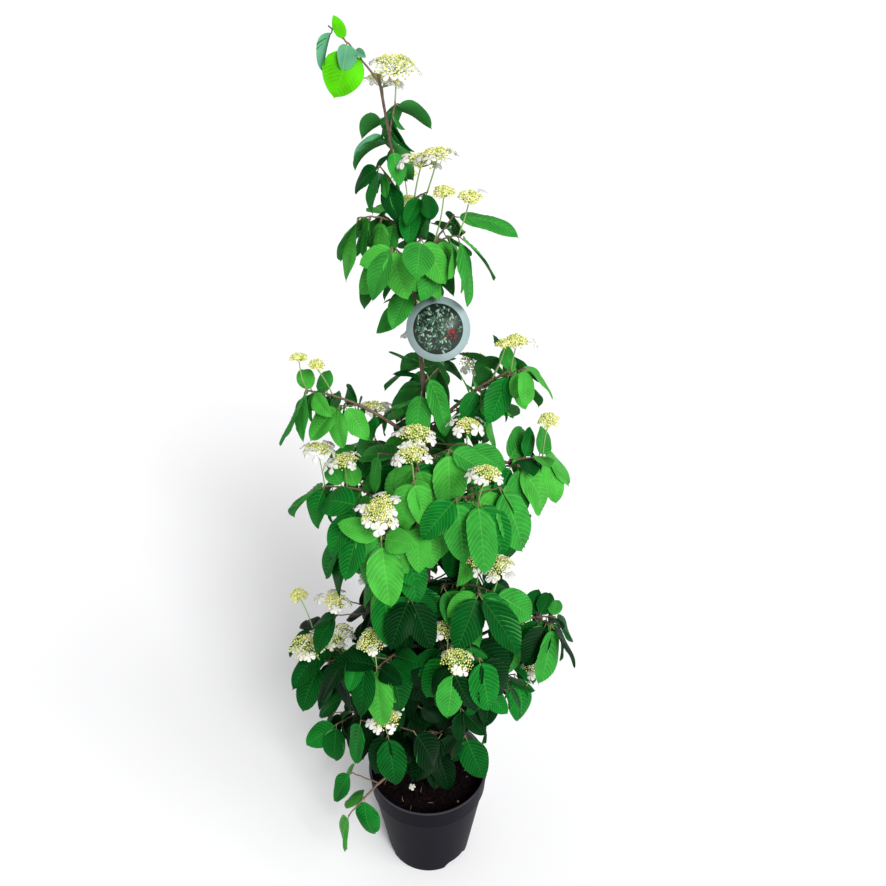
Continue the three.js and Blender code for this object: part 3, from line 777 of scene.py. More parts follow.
# Finer leaves between the nodes, within the spray's own reach
REACH_PAST = 4
SPUR_LEAF = 0.72
SPUR_SPACING = 24
SPUR_SEED = 5001
RAISED_LEAF = 0.68
RAISED_SPACING = 22
RAISED_SEED = 8001
RAISED = ("high_left", "high_right", "middle_left", "middle_right", "middle_front_left", "wide_right",
          "wide_front_left", "inner_left", "inner_right", "high_back")


def spur_leaf(seed, attempt, root, aim, face, length):
    return root, aim, face, length * SPUR_LEAF * between(0.75, 1.1, seed, 70 + attempt)


def raised_leaf(seed, attempt, root, aim, face, length):
    """A leaf held nearly level."""
    level = Vector((aim.x, aim.y, 0)).normalized()
    aim = (level + UP * between(-0.2, 0.5, seed, attempt + 120)).normalized()
    return root, aim, face, length * RAISED_LEAF * between(0.7, 1.1, seed, 140 + attempt)


def finer_leaves(grown, order, kind, spacing, skipped, shift, salt):
    """Pairs of leaves of one kind along a shoot, past the share of it that is skipped."""
    shoot = grown["shoots"][order]
    count = max(1, round(shoot["length"] / spacing))
    limits = grown["box"][0] - REACH_PAST, grown["box"][1] + REACH_PAST
    for i in range(int(count * skipped), count):
        for side in (-1, 1):
            seed = grown["index"] * 1000 + order * 100 + i * 10 + side + salt
            spot = dict(shoot=shoot, share=(i + shift) / count, side=side, seed=seed, last=False)
            grow_leaf(grown, seed, lambda attempt: kind(
                seed, attempt, *leaf_at(spot, grown["leaf"], attempt)), limits=limits)


for grown in sprays:
    if grown["name"] not in SPARSE:
        for order in range(len(grown["shoots"])):
            finer_leaves(grown, order, spur_leaf, SPUR_SPACING, 0, 0.5, SPUR_SEED)
for grown in sprays:
    if grown["name"] in RAISED:
        finer_leaves(grown, 0, raised_leaf, RAISED_SPACING, 1 / 3, 0.75, RAISED_SEED)

# Inner growth straight from the leader and stems, which fills the crown behind the outer sprays
INNER_STEP = 24
INNER_SET = 9
INNER_LEAF = 66
INNER_TWIG = 84
INNER_TRIES = 4
INNER_HEADS = 8
INNER_STALK = 24
HEADS_IN_FRONT = -50
GOLDEN_TURN = 137.5
# Longer inner twigs: height on the leader, heading and length
LONG_TWIGS = ((532, 208, 138), (566, 196, 136), (604, 214, 132), (540, 4, 142), (584, 352, 138),
              (820, 340, 118), (640, 198, 140), (634, 358, 150))
LONG_TWIG_LEAF = 70
# Heights of the single leaves and the twigs on the leader, and the lowest ones on the stems
LEADER_LEAVES = range(232, 1290, INNER_STEP)
LEADER_TWIGS = range(330, 900, 12)
LOW_INNER_LEAF = 78
HIGH_INNER_LEAF = 52
HIGH_INNER_FROM = 1000
STEM_LEAVES_FROM = 225
STEM_TWIGS_FROM = 320
STEM_TWIG_STEP = 18
STEM_LEAF = 70
STEM_SEED = 1000
LEADER_TWIG_SEED = 20000
LONG_TWIG_SEED = 25000
STEM_TWIG_SEED = 30000
inner = dict(name="inner", index=80, shoots=[], heads_at=[], leaves=[])
boxes = np.array([grown["box"] for grown in sprays])
crown = boxes[:, 0].min(0), boxes[:, 1].max(0)


def inner_leaf(path, height, seed, size):
    def make(attempt):
        out = compass(GOLDEN_TURN * seed + 60 * chance(seed, attempt))
        aim = (out * between(0.6, 1.1, seed, attempt + 20)
               - UP * between(0.2, 1.4, seed, attempt + 40)).normalized()
        face = UP + out * between(0.3, 1, seed, attempt + 60)
        return path(height) + out * INNER_SET, aim, face, size * between(0.7, 1.1, seed, attempt + 80)
    grow_leaf(inner, seed, make, limits=crown)


def inner_twig(path, height, seed, size, chosen=None):
    """A twig with pairs of leaves and at times a flower head, by a chosen heading and length or its own."""
    for attempt in range(INNER_TRIES):
        if chosen:
            heading = chosen[0] + 30 * (chance(seed, attempt + 7) - 0.5)
            length = chosen[1]
        else:
            heading = GOLDEN_TURN * (seed % 100) + 80 * chance(seed, attempt + 7)
            length = INNER_TWIG * between(0.5, 1, seed, attempt + 17)
        out = compass(heading)
        root = path(height) + out * INNER_SET
        tip = root + (out + UP * between(0.1, 0.7, seed, attempt + 27)).normalized() * length
        shape = rough_limb(straight(root, tip), taper(TWIG_RADIUS, TWIG_TIP_RADIUS), 3, 1)
        if room.fits(shape, "inner"):
            break
    else:
        return
    room.claim(shape, "inner")
    shoot = dict(path=straight(root, tip), length=length, nodes=[0.35, 0.68, 1] if chosen else [0.5, 1])
    inner["shoots"].append(shoot)
    head = (tip, tip + UP * INNER_STALK, seed)
    shape = rough_head(*head)
    flowering = tip.y < HEADS_IN_FRONT and chance(seed, 9) < 0.4 and len(inner["heads_at"]) < INNER_HEADS
    if flowering and inside(shape, crown) and room.fits(shape, "inner", "head"):
        room.claim(shape, "inner", "head")
        inner["heads_at"].append(head)
    for node, share in enumerate(shoot["nodes"]):
        for side in (-1, 1):
            one = seed * 10 + node * 4 + side + 1
            spot = dict(shoot=shoot, share=share, side=side, seed=one, last=share == 1)
            grow_leaf(inner, one, lambda attempt: leaf_at(
                spot, size * between(0.75, 1.1, one, attempt + 90), attempt), limits=crown)


for height in LEADER_LEAVES:
    inner_leaf(leader_at, height, height, LOW_INNER_LEAF if height < HIGH_INNER_FROM else HIGH_INNER_LEAF)
for name, stem in STEMS.items():
    for height in range(STEM_LEAVES_FROM, stem["top"] - 10, INNER_STEP):
        inner_leaf(PATHS[name], height, height + len(name) * STEM_SEED, STEM_LEAF)
for k, (height, heading, length) in enumerate(LONG_TWIGS):
    inner_twig(leader_at, height, LONG_TWIG_SEED + 7 * k, LONG_TWIG_LEAF, (heading, length))
for height in LEADER_TWIGS:
    inner_twig(leader_at, height, LEADER_TWIG_SEED + height, INNER_LEAF)
for name, stem in STEMS.items():
    for height in range(STEM_TWIGS_FROM, stem["top"] - 6, STEM_TWIG_STEP):
        inner_twig(PATHS[name], height, STEM_TWIG_SEED + height + len(name) * STEM_SEED, INNER_LEAF)

# Leaf: pairs of sunk veins between raised pleats, fine teeth, a paler underside
VEIN_PAIRS = 10
VEIN_RISE = 0.42
VEIN_BAND = 0.12
VEIN_CURVE = 1.55
BASE_ROWS = (0.02, 0.06, 0.105, 0.15, 0.19)
FIRST_VEIN = 0.03
LAST_VEIN = 0.93
TIP_ROWS = (0.955, 0.982)
COLUMNS = (-1.0, -0.66, -0.33, -0.03, 0.03, 0.33, 0.66, 1.0)
MIDRIB = len(COLUMNS) // 2 - 1
TOOTH = 0.02
PLEAT_DEPTH = 0.014
PETIOLE_SHARE = 0.1
BROAD_LEAF = 0.61


def leaf_template():
    """Each row's place on the midrib (u) and margin (m), half width, pleat, tooth and vein flag."""
    rows = [(edge ** (1 / VEIN_RISE), 0.0, 0.0, False) for edge in BASE_ROWS]
    for pair in range(VEIN_PAIRS):
        for step, is_vein in ((0.0, True), (VEIN_BAND, False), (0.5 + VEIN_BAND / 2, False)):
            along = mix(FIRST_VEIN, LAST_VEIN, (pair + step) / VEIN_PAIRS)
            rows.append((along, 1.0 if step > 0.5 else 0.0, TOOTH if step < VEIN_BAND else 0.0, is_vein))
    rows += [(along, 0.0, 0.0, False) for along in TIP_ROWS]
    u, pleat, tooth, vein = (np.array(column) for column in zip(*rows))
    m = u ** VEIN_RISE
    half = m ** 0.54 * (1 - m) ** 0.76
    half /= half.max()
    half *= 1 - 0.3 * np.exp(-((1 - m) / 0.05) ** 2)
    return u, m, half, pleat, tooth, vein


LEAF_U, LEAF_M, LEAF_HALF, LEAF_PLEAT, LEAF_TOOTH, LEAF_VEIN = leaf_template()


def leaf_faces():
    """Faces of one leaf and the kind of each: 0 upper side, 1 vein, 2 underside."""
    rows, wide = len(LEAF_U), len(COLUMNS)
    upper = rows_of(rows, wide)
    under = rows_of(rows, 3, LEAF_ROOT + 2)
    faces = net(upper)
    kinds = [int(LEAF_VEIN[row] or column == MIDRIB)
             for row in range(rows - 1) for column in range(wide - 1)]
    faces += fan(LEAF_ROOT, upper[0][::-1]) + fan(LEAF_ROOT + 1, upper[-1])
    kinds += [0] * (len(faces) - len(kinds))
    faces += net(under, True) + fan(LEAF_ROOT, under[0]) + fan(LEAF_ROOT + 1, under[-1][::-1])
    kinds += [2] * (len(faces) - len(kinds))
    return np.array(faces), np.array(kinds)


# The number of the point at a leaf's root, which the one at its tip follows
LEAF_ROOT = len(LEAF_U) * len(COLUMNS)
LEAF_FACES, LEAF_KINDS = leaf_faces()


def leaf_sheet(blade, width, fold, seed):
    """A leaf before it bends: the upper side's rows, its root and tip, then the underside's rows."""
    keel = math.radians(fold + between(3, 20, seed, 32))
    cup = between(-0.7, 0, seed, 37)
    columns = np.array(COLUMNS)
    reach = np.abs(columns)
    margin = LEAF_HALF[:, None] * (1 + LEAF_TOOTH[:, None] * (reach > 0.99))
    x = columns * margin * width / 2
    y = (LEAF_U[:, None] + (LEAF_M - LEAF_U)[:, None] * reach ** VEIN_CURVE) * blade
    pleat = np.where(reach > 0.99, 0.1, np.minimum(1, reach * 2)) * PLEAT_DEPTH * blade
    wave = 0.02 * blade * np.sin(9 * LEAF_M + 6.3 * chance(seed, 38))
    z = LEAF_PLEAT[:, None] * pleat + np.abs(x) * math.tan(keel) + cup * x * x / width
    z = z + wave[:, None] * columns
    spine = np.stack([LEAF_U * 0, LEAF_U * blade, z[:, MIDRIB] - 0.5], -1)
    ends = np.array([[0, 0, -0.2], [0, blade * 1.03, z[-1, MIDRIB]]])
    upper = np.stack([x, y, z], -1)
    under = np.stack([upper[:, 0], spine, upper[:, -1]], 1)
    return np.concatenate([upper.reshape(-1, 3), ends, under.reshape(-1, 3)])


def leaf_points(root, along, face, length, seed, fold, broad, roll):
    """A leaf in its place, turned about its midrib, twisted and bent."""
    across, normal = sides_of(along, face)
    turn = math.radians(roll) * (2 * chance(seed, 36) - 1)
    across, normal = (across * math.cos(turn) + normal * math.sin(turn),
                      normal * math.cos(turn) - across * math.sin(turn))
    petiole = PETIOLE_SHARE * length
    blade = length - petiole
    width = blade * broad * between(0.93, 1.07, seed, 31)
    bend = between(0.1, 0.9, seed, 33)
    twist = math.radians(between(-18, 18, seed, 34))
    local = leaf_sheet(blade, width, fold, seed)
    share = local[:, 1] / blade
    cos, sin = np.cos(twist * share), np.sin(twist * share)
    x, z = local[:, 0] * cos - local[:, 2] * sin, local[:, 0] * sin + local[:, 2] * cos
    angle = bend * share ** 1.3 - bend * 0.35
    y = petiole + blade * share * np.cos(angle * 0.5) + z * np.sin(angle)
    z = -blade * share * np.sin(angle * 0.5) + z * np.cos(angle)
    return np.array(root) + np.stack([x, y, z], -1) @ np.array([across, along, normal])


def add_leaf(piece, stalk_piece, leaf, seed, green, fold, broad, roll):
    root = leaf[0]
    points = leaf_points(*leaf, seed, fold, broad, roll)
    kinds = np.array([green, green + len(GREENS), 2 * len(GREENS)])[LEAF_KINDS]
    piece.add(points, LEAF_FACES, kinds)
    tip = root + (Vector(points[LEAF_ROOT]) - root) * 1.1
    stalk_piece.add(*tube([root, root.lerp(tip, 0.5) - UP * 0.4, tip], [0.9, 0.75, 0.7], 5), 2)


# Twigs with nodes that swell a little
def twig_tube(shoot, root_radius, tip_radius, seed):
    points = sample(shoot["path"], shoot["length"], 4)
    count = len(points) - 1
    radii = []
    for i, point in enumerate(points):
        share = i / count
        swell = sum(math.exp(-((share - node) * shoot["length"] / 2.5) ** 2) for node in shoot["nodes"])
        radii.append(mix(root_radius, tip_radius, share) * (1 + 0.25 * swell))
        if 0 < i < count:
            wander = Vector([chance(seed, i * 3 + axis) - 0.5 for axis in range(3)])
            points[i] = point + wander * 1.1
    return tube(points, radii, 6)


# Flower heads: rays that fork to buds, and white florets on the rim
PETAL_ROWS = (0.05, 0.3, 0.6, 0.85, 1.0)
PETAL_HALF = (0.08, 0.24, 0.42, 0.4, 0.2)
PETAL_COLUMNS = (-1, -0.4, 0.4, 1)
FLORET_COUNT = (3.5, 7.5)
FLORET_SIZE = (7.5, 10.5)
RAYS = 7
RAY_BUDS = 26
BUD_SIZE = (0.95, 1.65)
# Every so many buds, one has a stalk that shows
STALKED_BUD = 4
CREAM_SHARE = 0.45
CLUSTER_REACH = 8.5
DOME_REACH = 13.5
DOME_HEIGHT = 8
SPARSE_HEAD = 0.7
# How full the heads of a spray are, head by head, where they aren't all of full size
FULL_HEADS = {"high_left": [0.52], "high_right": [0.6], "upper_right": [0.62], "upper_back": [0.7],
              "top_right": [0.85], "top_left": [0.9], "top_back": [0.95], "top_tip": [1.1],
              "middle_right": [0.7], "wide_left": [1.3, 1.3, 0.62], "inner": [0.8]}


def petal(middle, out, face, length, seed):
    """One rounded lobe of a floret, a closed thin shell."""
    across = face.cross(out).normalized()
    points = []
    for sink in (0, 0.05):
        for row, half in zip(PETAL_ROWS, PETAL_HALF):
            for column in PETAL_COLUMNS:
                lift = 0.1 * row - 0.28 * row * row + 0.08 * column * column
                lift += 0.05 * math.sin(9 * row + 6.3 * chance(seed, 3)) * column
                if abs(column) < 1:
                    lift -= sink
                points.append(middle + (out * row + across * column * half + face * lift) * length)
    upper = rows_of(len(PETAL_ROWS), len(PETAL_COLUMNS))
    below = len(points) // 2
    under = [row[:1] + [number + below for number in row[1:-1]] + row[-1:] for row in upper]
    ends = net([upper[0], under[0]], True) + net([under[-1], upper[-1]], True)
    return np.array(points), net(upper) + net(under, True) + ends


def floret(piece, middle, face, radius, seed, kind=2):
    side = face.orthogonal().normalized()
    other = face.cross(side)
    lobes = 5 if chance(seed, 8) < 0.7 else 4
    for i in range(lobes):
        angle = 2 * math.pi * (i + 0.3 * chance(seed, 20 + i)) / lobes
        out = side * math.cos(angle) + other * math.sin(angle)
        piece.add(*petal(middle, out, face, radius * between(0.72, 1.08, seed, 30 + i), seed + i), kind)
    piece.add(*ball(middle + face * 0.5, 0.9), kind + 1)


def add_ray(piece, stalk_piece, top, tilt, size, ray, seed):
    """One ray of a head with its cluster of buds; the first ray stands in the middle."""
    out = compass(360 * (ray + 0.5 * chance(seed, 50 + ray)) / (RAYS - 1))
    reach = DOME_REACH * size * (between(0.85, 1.1, seed, 60 + ray) if ray else 0)
    fork = top + tilt @ (out * reach * 0.8 + UP * size * between(3.5, 6, seed, 70 + ray))
    bend = top.lerp(fork, 0.5) + tilt @ out * 0.8
    stalk_piece.add(*tube([top, bend, fork], [0.6, 0.5, 0.45], 4), 1)
    for k in range(RAY_BUDS):
        draw = 100 + ray * 40 + k
        spread = compass(GOLDEN_TURN * k) * CLUSTER_REACH * size * math.sqrt((k + 0.5) / RAY_BUDS)
        spot = out * reach + spread
        share = spot.length / (DOME_REACH + CLUSTER_REACH) / size
        lift = size * (HEAD_RISE + DOME_HEIGHT * (1 - share * share)) - 0.04 * spread.length_squared
        bud = top + tilt @ (spot + UP * (lift + between(-1.6, 1.6, seed, draw)))
        kind = 1 if chance(seed, draw + 500) < CREAM_SHARE else 0
        piece.add(*ball(bud, between(*BUD_SIZE, seed, draw + 900), 0.9), kind)
        if k % STALKED_BUD == 0:
            stalk_piece.add(*tube([fork, bud], [0.34, 0.26], 3), 1)


def add_head(piece, stalk_piece, root, top, seed, full):
    """A head on its bowed stalk: rays, then florets, of which a sparse head has one at most."""
    tilt = head_tilt(seed)
    bow = (top - root).orthogonal().normalized() * between(-3, 3, seed, 6)
    line = steps_of(lambda share: root.lerp(top, share) + bow * math.sin(math.pi * share), 8)
    stalk_piece.add(*tube(line, steps_of(taper(1, 0.75), 8), 6), 1)
    size = full * between(0.88, 1.1, seed, 9)
    for ray in range(RAYS):
        add_ray(piece, stalk_piece, top, tilt, size, ray, seed)
    if full > SPARSE_HEAD:
        count = round(between(*FLORET_COUNT, seed, 7) * min(full, 1.3))
    else:
        count = int(2 * chance(seed, 7))
    for i in range(count):
        out = compass(360 * (i + 0.95 * chance(seed, 80 + i)) / count)
        lift = HEAD_RISE + between(-4, 2, seed, 85 + i)
        middle = top + tilt @ (out * HEAD_RADIUS * between(0.95, 1.45, seed, 90 + i) + UP * lift)
        face = (tilt @ (UP + out * between(0.1, 1.2, seed, 88 + i))).normalized()
        bend = top.lerp(middle, 0.55) + UP * 1.5
        stalk_piece.add(*tube([top, bend, middle - face * 0.4], [0.6, 0.45, 0.4], 4), 1)
        floret(piece, middle, face, between(*FLORET_SIZE, seed, 95 + i), seed * 10 + i)


# The greens, and the young leaves near the top
SILVERY_FROM = 1236
SILVERY_LOOK = (SILVERY, 36, 0.6)


def green_of(index, root, seed):
    """A leaf's green by its spray, how high it hangs and how far it reaches to the open side: higher leaves
    are lighter, partly as fresh growth and partly as painted light; leaves reaching far out to the front and
    those low over the pot get painted light, and those by the leader in the crown's middle get painted shade.
    """
    high = clamp((root.z - 260) / 700, 0, 1.15)
    open_side = clamp(math.hypot(root.x, root.y) / 110 - 0.4 - root.y / 260, -1, 1)
    over_pot = clamp((370 - root.z) / 100)
    middle = max(0, 1 - abs(root.x) / 75) * clamp((780 - root.z) / 60)
    value = -2.2 + 5.1 * high + 2.2 * over_pot + 0.9 * open_side - 1.2 * middle
    value += 0.5 * chance(index, 42) + 4.4 * chance(seed, 41) ** 1.4
    return int(clamp(value, 0, FRESH))


def inner_green(root, seed):
    """An inner leaf gets a dark green as painted shade inside the crown, but for those that hang high or far
    from the leader, which get lighter greens as painted light.
    """
    lift = 2.4 * clamp((root.z - 600) / 300) + 1.5 * clamp((root.z - 760) / 60)
    lift += 1.8 * clamp((math.hypot(root.x, root.y) - 70) / 40)
    return int(min(FRESH, lift + 1.8 * chance(seed, 41)))


def look_of(grown, root, seed):
    """Green, fold and width of one leaf."""
    if grown is inner:
        return inner_green(root, seed), 0, BROAD_LEAF
    green = green_of(grown["index"], root, seed)
    if grown["name"].startswith("top"):
        if root.z > SILVERY_FROM and chance(seed, 45) < 0.4:
            return SILVERY_LOOK
        green = min(green, 2 + int(2.6 * chance(seed, 46)))
    return green, 0, BROAD_LEAF


# Leaves of the topmost shoot: share along it, direction, facing, length, green, fold and width
TOP_LEAVES = (
    (0.55, (-17, -25, -39), (0.1, -0.8, 0.5), 54, LIME, 0, 0.86),
    (0.68, (-10, -6, 25), (0, -1, 0.3), 28, LIME, 10, 0.55),
    (0.92, (-12, -10, -36), (-0.7, -0.6, 0.3), 44, SILVERY, 40, 0.36),
    (0.64, (-4, -12, -21), (0.3, -0.9, 0.3), 30, SILVERY, 30, 0.8),
    (0.5, (10, -9, -3), (0.2, -0.8, 0.7), 17, SILVERY, 20, 0.62),
)


# Pieces of the plant, group by group
def plant_pieces(group):
    return (Piece(f"leaves_{group}", LEAF_SLOTS), Piece(f"twigs_{group}", TWIG_SLOTS),
            Piece(f"blossom_{group}", BLOSSOM_SLOTS))


def dress(grown, leaves, twigs, blossom):
    """The leaves, twigs and flower heads of one spray, or of the inner growth."""
    index = grown["index"]
    side_twigs = grown["shoots"]
    if grown is not inner:
        main, *side_twigs = grown["shoots"]
        slender = 1 if grown["bare"] > 0 else 0.72
        twigs.add(*twig_tube(main, main["radius"](0) * slender, SHOOT_TIP_RADIUS * slender, index), 0)
    for k, shoot in enumerate(side_twigs):
        twigs.add(*twig_tube(shoot, TWIG_RADIUS, TWIG_TIP_RADIUS, index * 50 + k), 0)
    if grown["name"] == "top_shoot":
        for k, (share, aim, face, length, *look) in enumerate(TOP_LEAVES):
            leaf = (main["path"](share), Vector(aim).normalized(), Vector(face), length)
            add_leaf(leaves, twigs, leaf, 500 + k, *look, YOUNG_ROLL)
    else:
        for leaf, seed, roll in grown["leaves"]:
            add_leaf(leaves, twigs, leaf, seed, *look_of(grown, leaf[0], seed), roll)
    fullness = FULL_HEADS.get(grown["name"], [1])
    for k, head in enumerate(grown["heads_at"]):
        add_head(blossom, twigs, *head, fullness[min(k, len(fullness) - 1)])


start = 0
for group, size in GROUPS.items():
    members = sprays[start:start + size]
    start += size
    pieces = plant_pieces(group)
    for grown in members:
        dress(grown, *pieces)
    for piece in pieces:
        piece.build("foliage", [grown["node"] for grown in members])
leaves, twigs, blossom = plant_pieces("inner")
dress(inner, leaves, twigs, blossom)
for piece in (leaves, blossom, twigs):
    piece.build("foliage")

# Bark with long ridges and small raised pores
BARK_INSET = 0.98
RIDGE_DEPTH = 0.1
PORE_DEPTH = 0.35


def bark(name, limbs, nodes):
    """A piece of limbs, each with its line, radii, number of sides and seed."""
    piece = Piece(name, [BARK])
    for line, radii, sides, seed in limbs:
        def relief(i, side):
            ridge = noise.noise(Vector((side * 1.7 + seed * 9, i * 0.22, seed * 3.1)))
            pore = max(0, noise.noise(Vector((side * 2.3, i * 1.9, seed * 5.7))) - 0.35)
            return 1 + RIDGE_DEPTH * ridge + PORE_DEPTH * pore
        piece.add(*tube(line, [radius * BARK_INSET for radius in radii], sides, relief), 0)
    piece.build("bark", nodes)


LEADER_ROWS = 400
STEM_ROWS = 110
bark("leader_bark", [(steps_of(leader_line, LEADER_ROWS), steps_of(leader_girth, LEADER_ROWS), 14, 1)],
     ["leader"])
bark("stem_bark", [(steps_of(line, STEM_ROWS), steps_of(stem_girth, STEM_ROWS), 12, k + 2)
                   for k, line in enumerate(stem_lines)], [f"stem_{name}" for name in STEMS])
boughs = []
bare_sprays = [grown for grown in sprays if grown["bare"] > 0]
for grown in bare_sprays:
    line = sample(stretch(spray_path(grown), 0.01, grown["bare"]), path_length(grown) * grown["bare"], 2)
    radius = bough_taper(grown)
    boughs.append((line, [radius(i / len(line)) for i in range(len(line))], 10, grown["index"]))
bark("bough_bark", boughs, [f"bough_{grown['name']}" for grown in bare_sprays])

# Pot
shoulder = POT_HEIGHT - COLLAR_HEIGHT
collar = SHOULDER_RADIUS + COLLAR_STEP
mouth = RIM_RADIUS - 2 * POT_WALL
floor_top = FLOOR_LIFT + POT_WALL
POT_SIDES = 180
EDGE_RADIUS = 1.0


def rounded(corners, radius, steps=4):
    """Corner points with each inner corner rounded."""
    path = [corners[0]]
    for before, corner, after in zip(corners, corners[1:], corners[2:]):
        before, corner, after = Vector(before), Vector(corner), Vector(after)
        near = min(radius, (before - corner).length * 0.45, (after - corner).length * 0.45)
        start = corner + (before - corner).normalized() * near
        end = corner + (after - corner).normalized() * near
        for i in range(steps + 1):
            share = i / steps
            path.append(tuple(start.lerp(corner, share).lerp(corner.lerp(end, share), share)))
    path.append(corners[-1])
    return path


def notch_lift(spot, height):
    """The foot ring's lower edge rises in an arch at each notch."""
    if height > 1.5 or spot.length < FOOT_RADIUS - FOOT_RING - 1:
        return 0
    rise = 0
    angle = math.degrees(math.atan2(spot.y, spot.x))
    for i in range(NOTCH_COUNT):
        off = (angle - NOTCH_HEADING - i * 360 / NOTCH_COUNT + 180) % 360 - 180
        across = FOOT_RADIUS * math.sin(math.radians(off)) / (NOTCH_WIDTH / 2)
        if abs(off) < 90 and abs(across) < 1:
            rise = NOTCH_HEIGHT * math.sqrt(1 - across * across)
    return rise


def wall_radius(height):
    return mix(FOOT_RADIUS, SHOULDER_RADIUS, height / shoulder)


def wall_kind(low, high):
    """0 for a row of plain wall, 1 for the lip's flat top with painted light, 2 for a band of painted shadow
    under the collar.
    """
    if min(low[1], high[1]) > POT_HEIGHT - 1 and min(low[0], high[0]) > mouth - 0.1:
        return 1
    in_collar_shadow = shoulder - COLLAR_STEP - 2 < (low[1] + high[1]) / 2 < shoulder - 0.5
    return 2 if in_collar_shadow and low[0] > SHOULDER_RADIUS - 1.5 else 0


profile = rounded([
    (0, 0), (FOOT_MIDDLE, 0), (FOOT_MIDDLE + FOOT_SLOPE, FLOOR_LIFT),
    (FOOT_RADIUS - FOOT_RING, FLOOR_LIFT), (FOOT_RADIUS - FOOT_RING + 1, 0), (FOOT_RADIUS, 0),
    (wall_radius(14), 14), (SHOULDER_RADIUS - 0.2, shoulder - COLLAR_STEP), (collar, shoulder),
    (RIM_RADIUS - 1.5, POT_HEIGHT - LIP), (RIM_RADIUS, POT_HEIGHT - LIP + 0.6),
    (RIM_RADIUS, POT_HEIGHT), (mouth, POT_HEIGHT), (mouth, POT_HEIGHT - LIP),
    (collar - POT_WALL, shoulder), (SHOULDER_RADIUS - POT_WALL, shoulder - COLLAR_STEP),
    (wall_radius(floor_top) - POT_WALL, floor_top), (0, floor_top)], EDGE_RADIUS)
row_kinds = [wall_kind(low, high) for low, high in zip(profile, profile[1:])]
pot_piece = Piece("pot_shell", POT_SLOTS)
pot_piece.add(*loft(turned(profile, POT_SIDES, notch_lift)), np.repeat(row_kinds, POT_SIDES))
pot_piece.build("pot", ["pot"])

# Soil: a rough peat surface with crumbs, fibres, a few twigs and one fallen floret
SOIL_RINGS = 46
SOIL_SIDES = 120
CRUMBS = 1200
CRUMB_SEED = 7000
CRUMB_SIZE = (0.7, 2.6)
FIBRES = 300
FIBRE_SEED = 9000
FIBRE_LENGTH = (4, 15)
FALLEN_FLORET = (-26, -28)
FALLEN_SIZE = 6.5
PELLET = (50, -54)
PELLET_RADIUS = 2.4
# The place of each loose twig on the peat, and its heading
LOOSE_TWIGS = ((80, 4, 20), (74, 10, 200), (82, -6, 320))
soil_radius = collar - POT_WALL - GAP


def soil_lift(spot, height=0):
    """The height of the peat's surface at a flat spot; rings below the surface keep their own height."""
    if height > 0:
        return 0
    edge = math.hypot(spot.x, spot.y) / soil_radius
    rough = sum(size * noise.noise(spot * grain) for size, grain in ((2.2, 0.05), (1.6, 0.16), (0.8, 0.5)))
    return SOIL_TOP - SOIL_MOUND * edge ** 2 - SOIL_DIP + rough


def on_soil(x, y, lift=0.0):
    spot = Vector((x, y, 0))
    return spot + UP * (soil_lift(spot) + lift)


def scattered(seed):
    spot = in_disc(soil_radius - 4, seed, 1, 2)
    return on_soil(spot.x, spot.y)


def within_pot(points):
    return all(math.hypot(point.x, point.y) < soil_radius - 2 for point in points)


soil_floor = floor_top + GAP
profile = [(soil_radius * (ring + 0.15) / (SOIL_RINGS - 0.85), 0) for ring in range(SOIL_RINGS)]
profile += [(soil_radius, shoulder + GAP), (SHOULDER_RADIUS - POT_WALL - GAP, shoulder - 2),
            (wall_radius(soil_floor) - POT_WALL - GAP, soil_floor), (0.5, soil_floor)]
soil_piece = Piece("soil_bed", SOIL_SLOTS)
soil_piece.add(*loft(turned(profile, SOIL_SIDES, soil_lift), on_soil(0, 0), UP * soil_floor, True), 0)
for seed in range(CRUMB_SEED, CRUMB_SEED + CRUMBS):
    size = mix(*CRUMB_SIZE, chance(seed, 3) ** 2)
    points, faces = ball(Vector((0, 0, 0)), size, between(0.5, 0.9, seed, 4))
    wobble = np.array([[0.7 + 0.6 * chance(seed + 7 * k, 5)] for k in range(len(points))])
    soil_piece.add(points * wobble + np.array(scattered(seed)), faces, 1 if chance(seed, 6) < 0.8 else 0)
floret(soil_piece, on_soil(*FALLEN_FLORET, 2.5), (UP + compass(250) * 0.3).normalized(), FALLEN_SIZE, 77, 4)
soil_piece.add(*ball(on_soil(*PELLET, 1), PELLET_RADIUS, 0.7, 8, 4), 3)
for x, y, heading in LOOSE_TWIGS:
    start = on_soil(x, y, 1.5)
    line = [start + compass(heading) * 7 * k + UP * (1.5 * k) for k in range(3)]
    if not within_pot(line[-1:]):
        line = [start - compass(heading) * 6 * k + UP * k for k in range(3)]
    soil_piece.add(*tube(line, [0.6, 0.5, 0.35], 5), 3)
for seed in range(FIBRE_SEED, FIBRE_SEED + FIBRES):
    start = scattered(seed) + UP * 0.8
    heading = 360 * chance(seed, 4)
    step = between(*FIBRE_LENGTH, seed, 5) / 3
    line = [start] + [start + compass(heading + 25 * k * (chance(seed, 6) - 0.5)) * step * k
                      + UP * (1.2 * math.sin(k * 1.2)) for k in range(1, 4)]
    if within_pot(line):
        soil_piece.add(*tube(line, [0.35, 0.35, 0.3, 0.2], 3), 2 if chance(seed, 7) < 0.95 else 3)
soil_piece.build("soil", ["soil"])

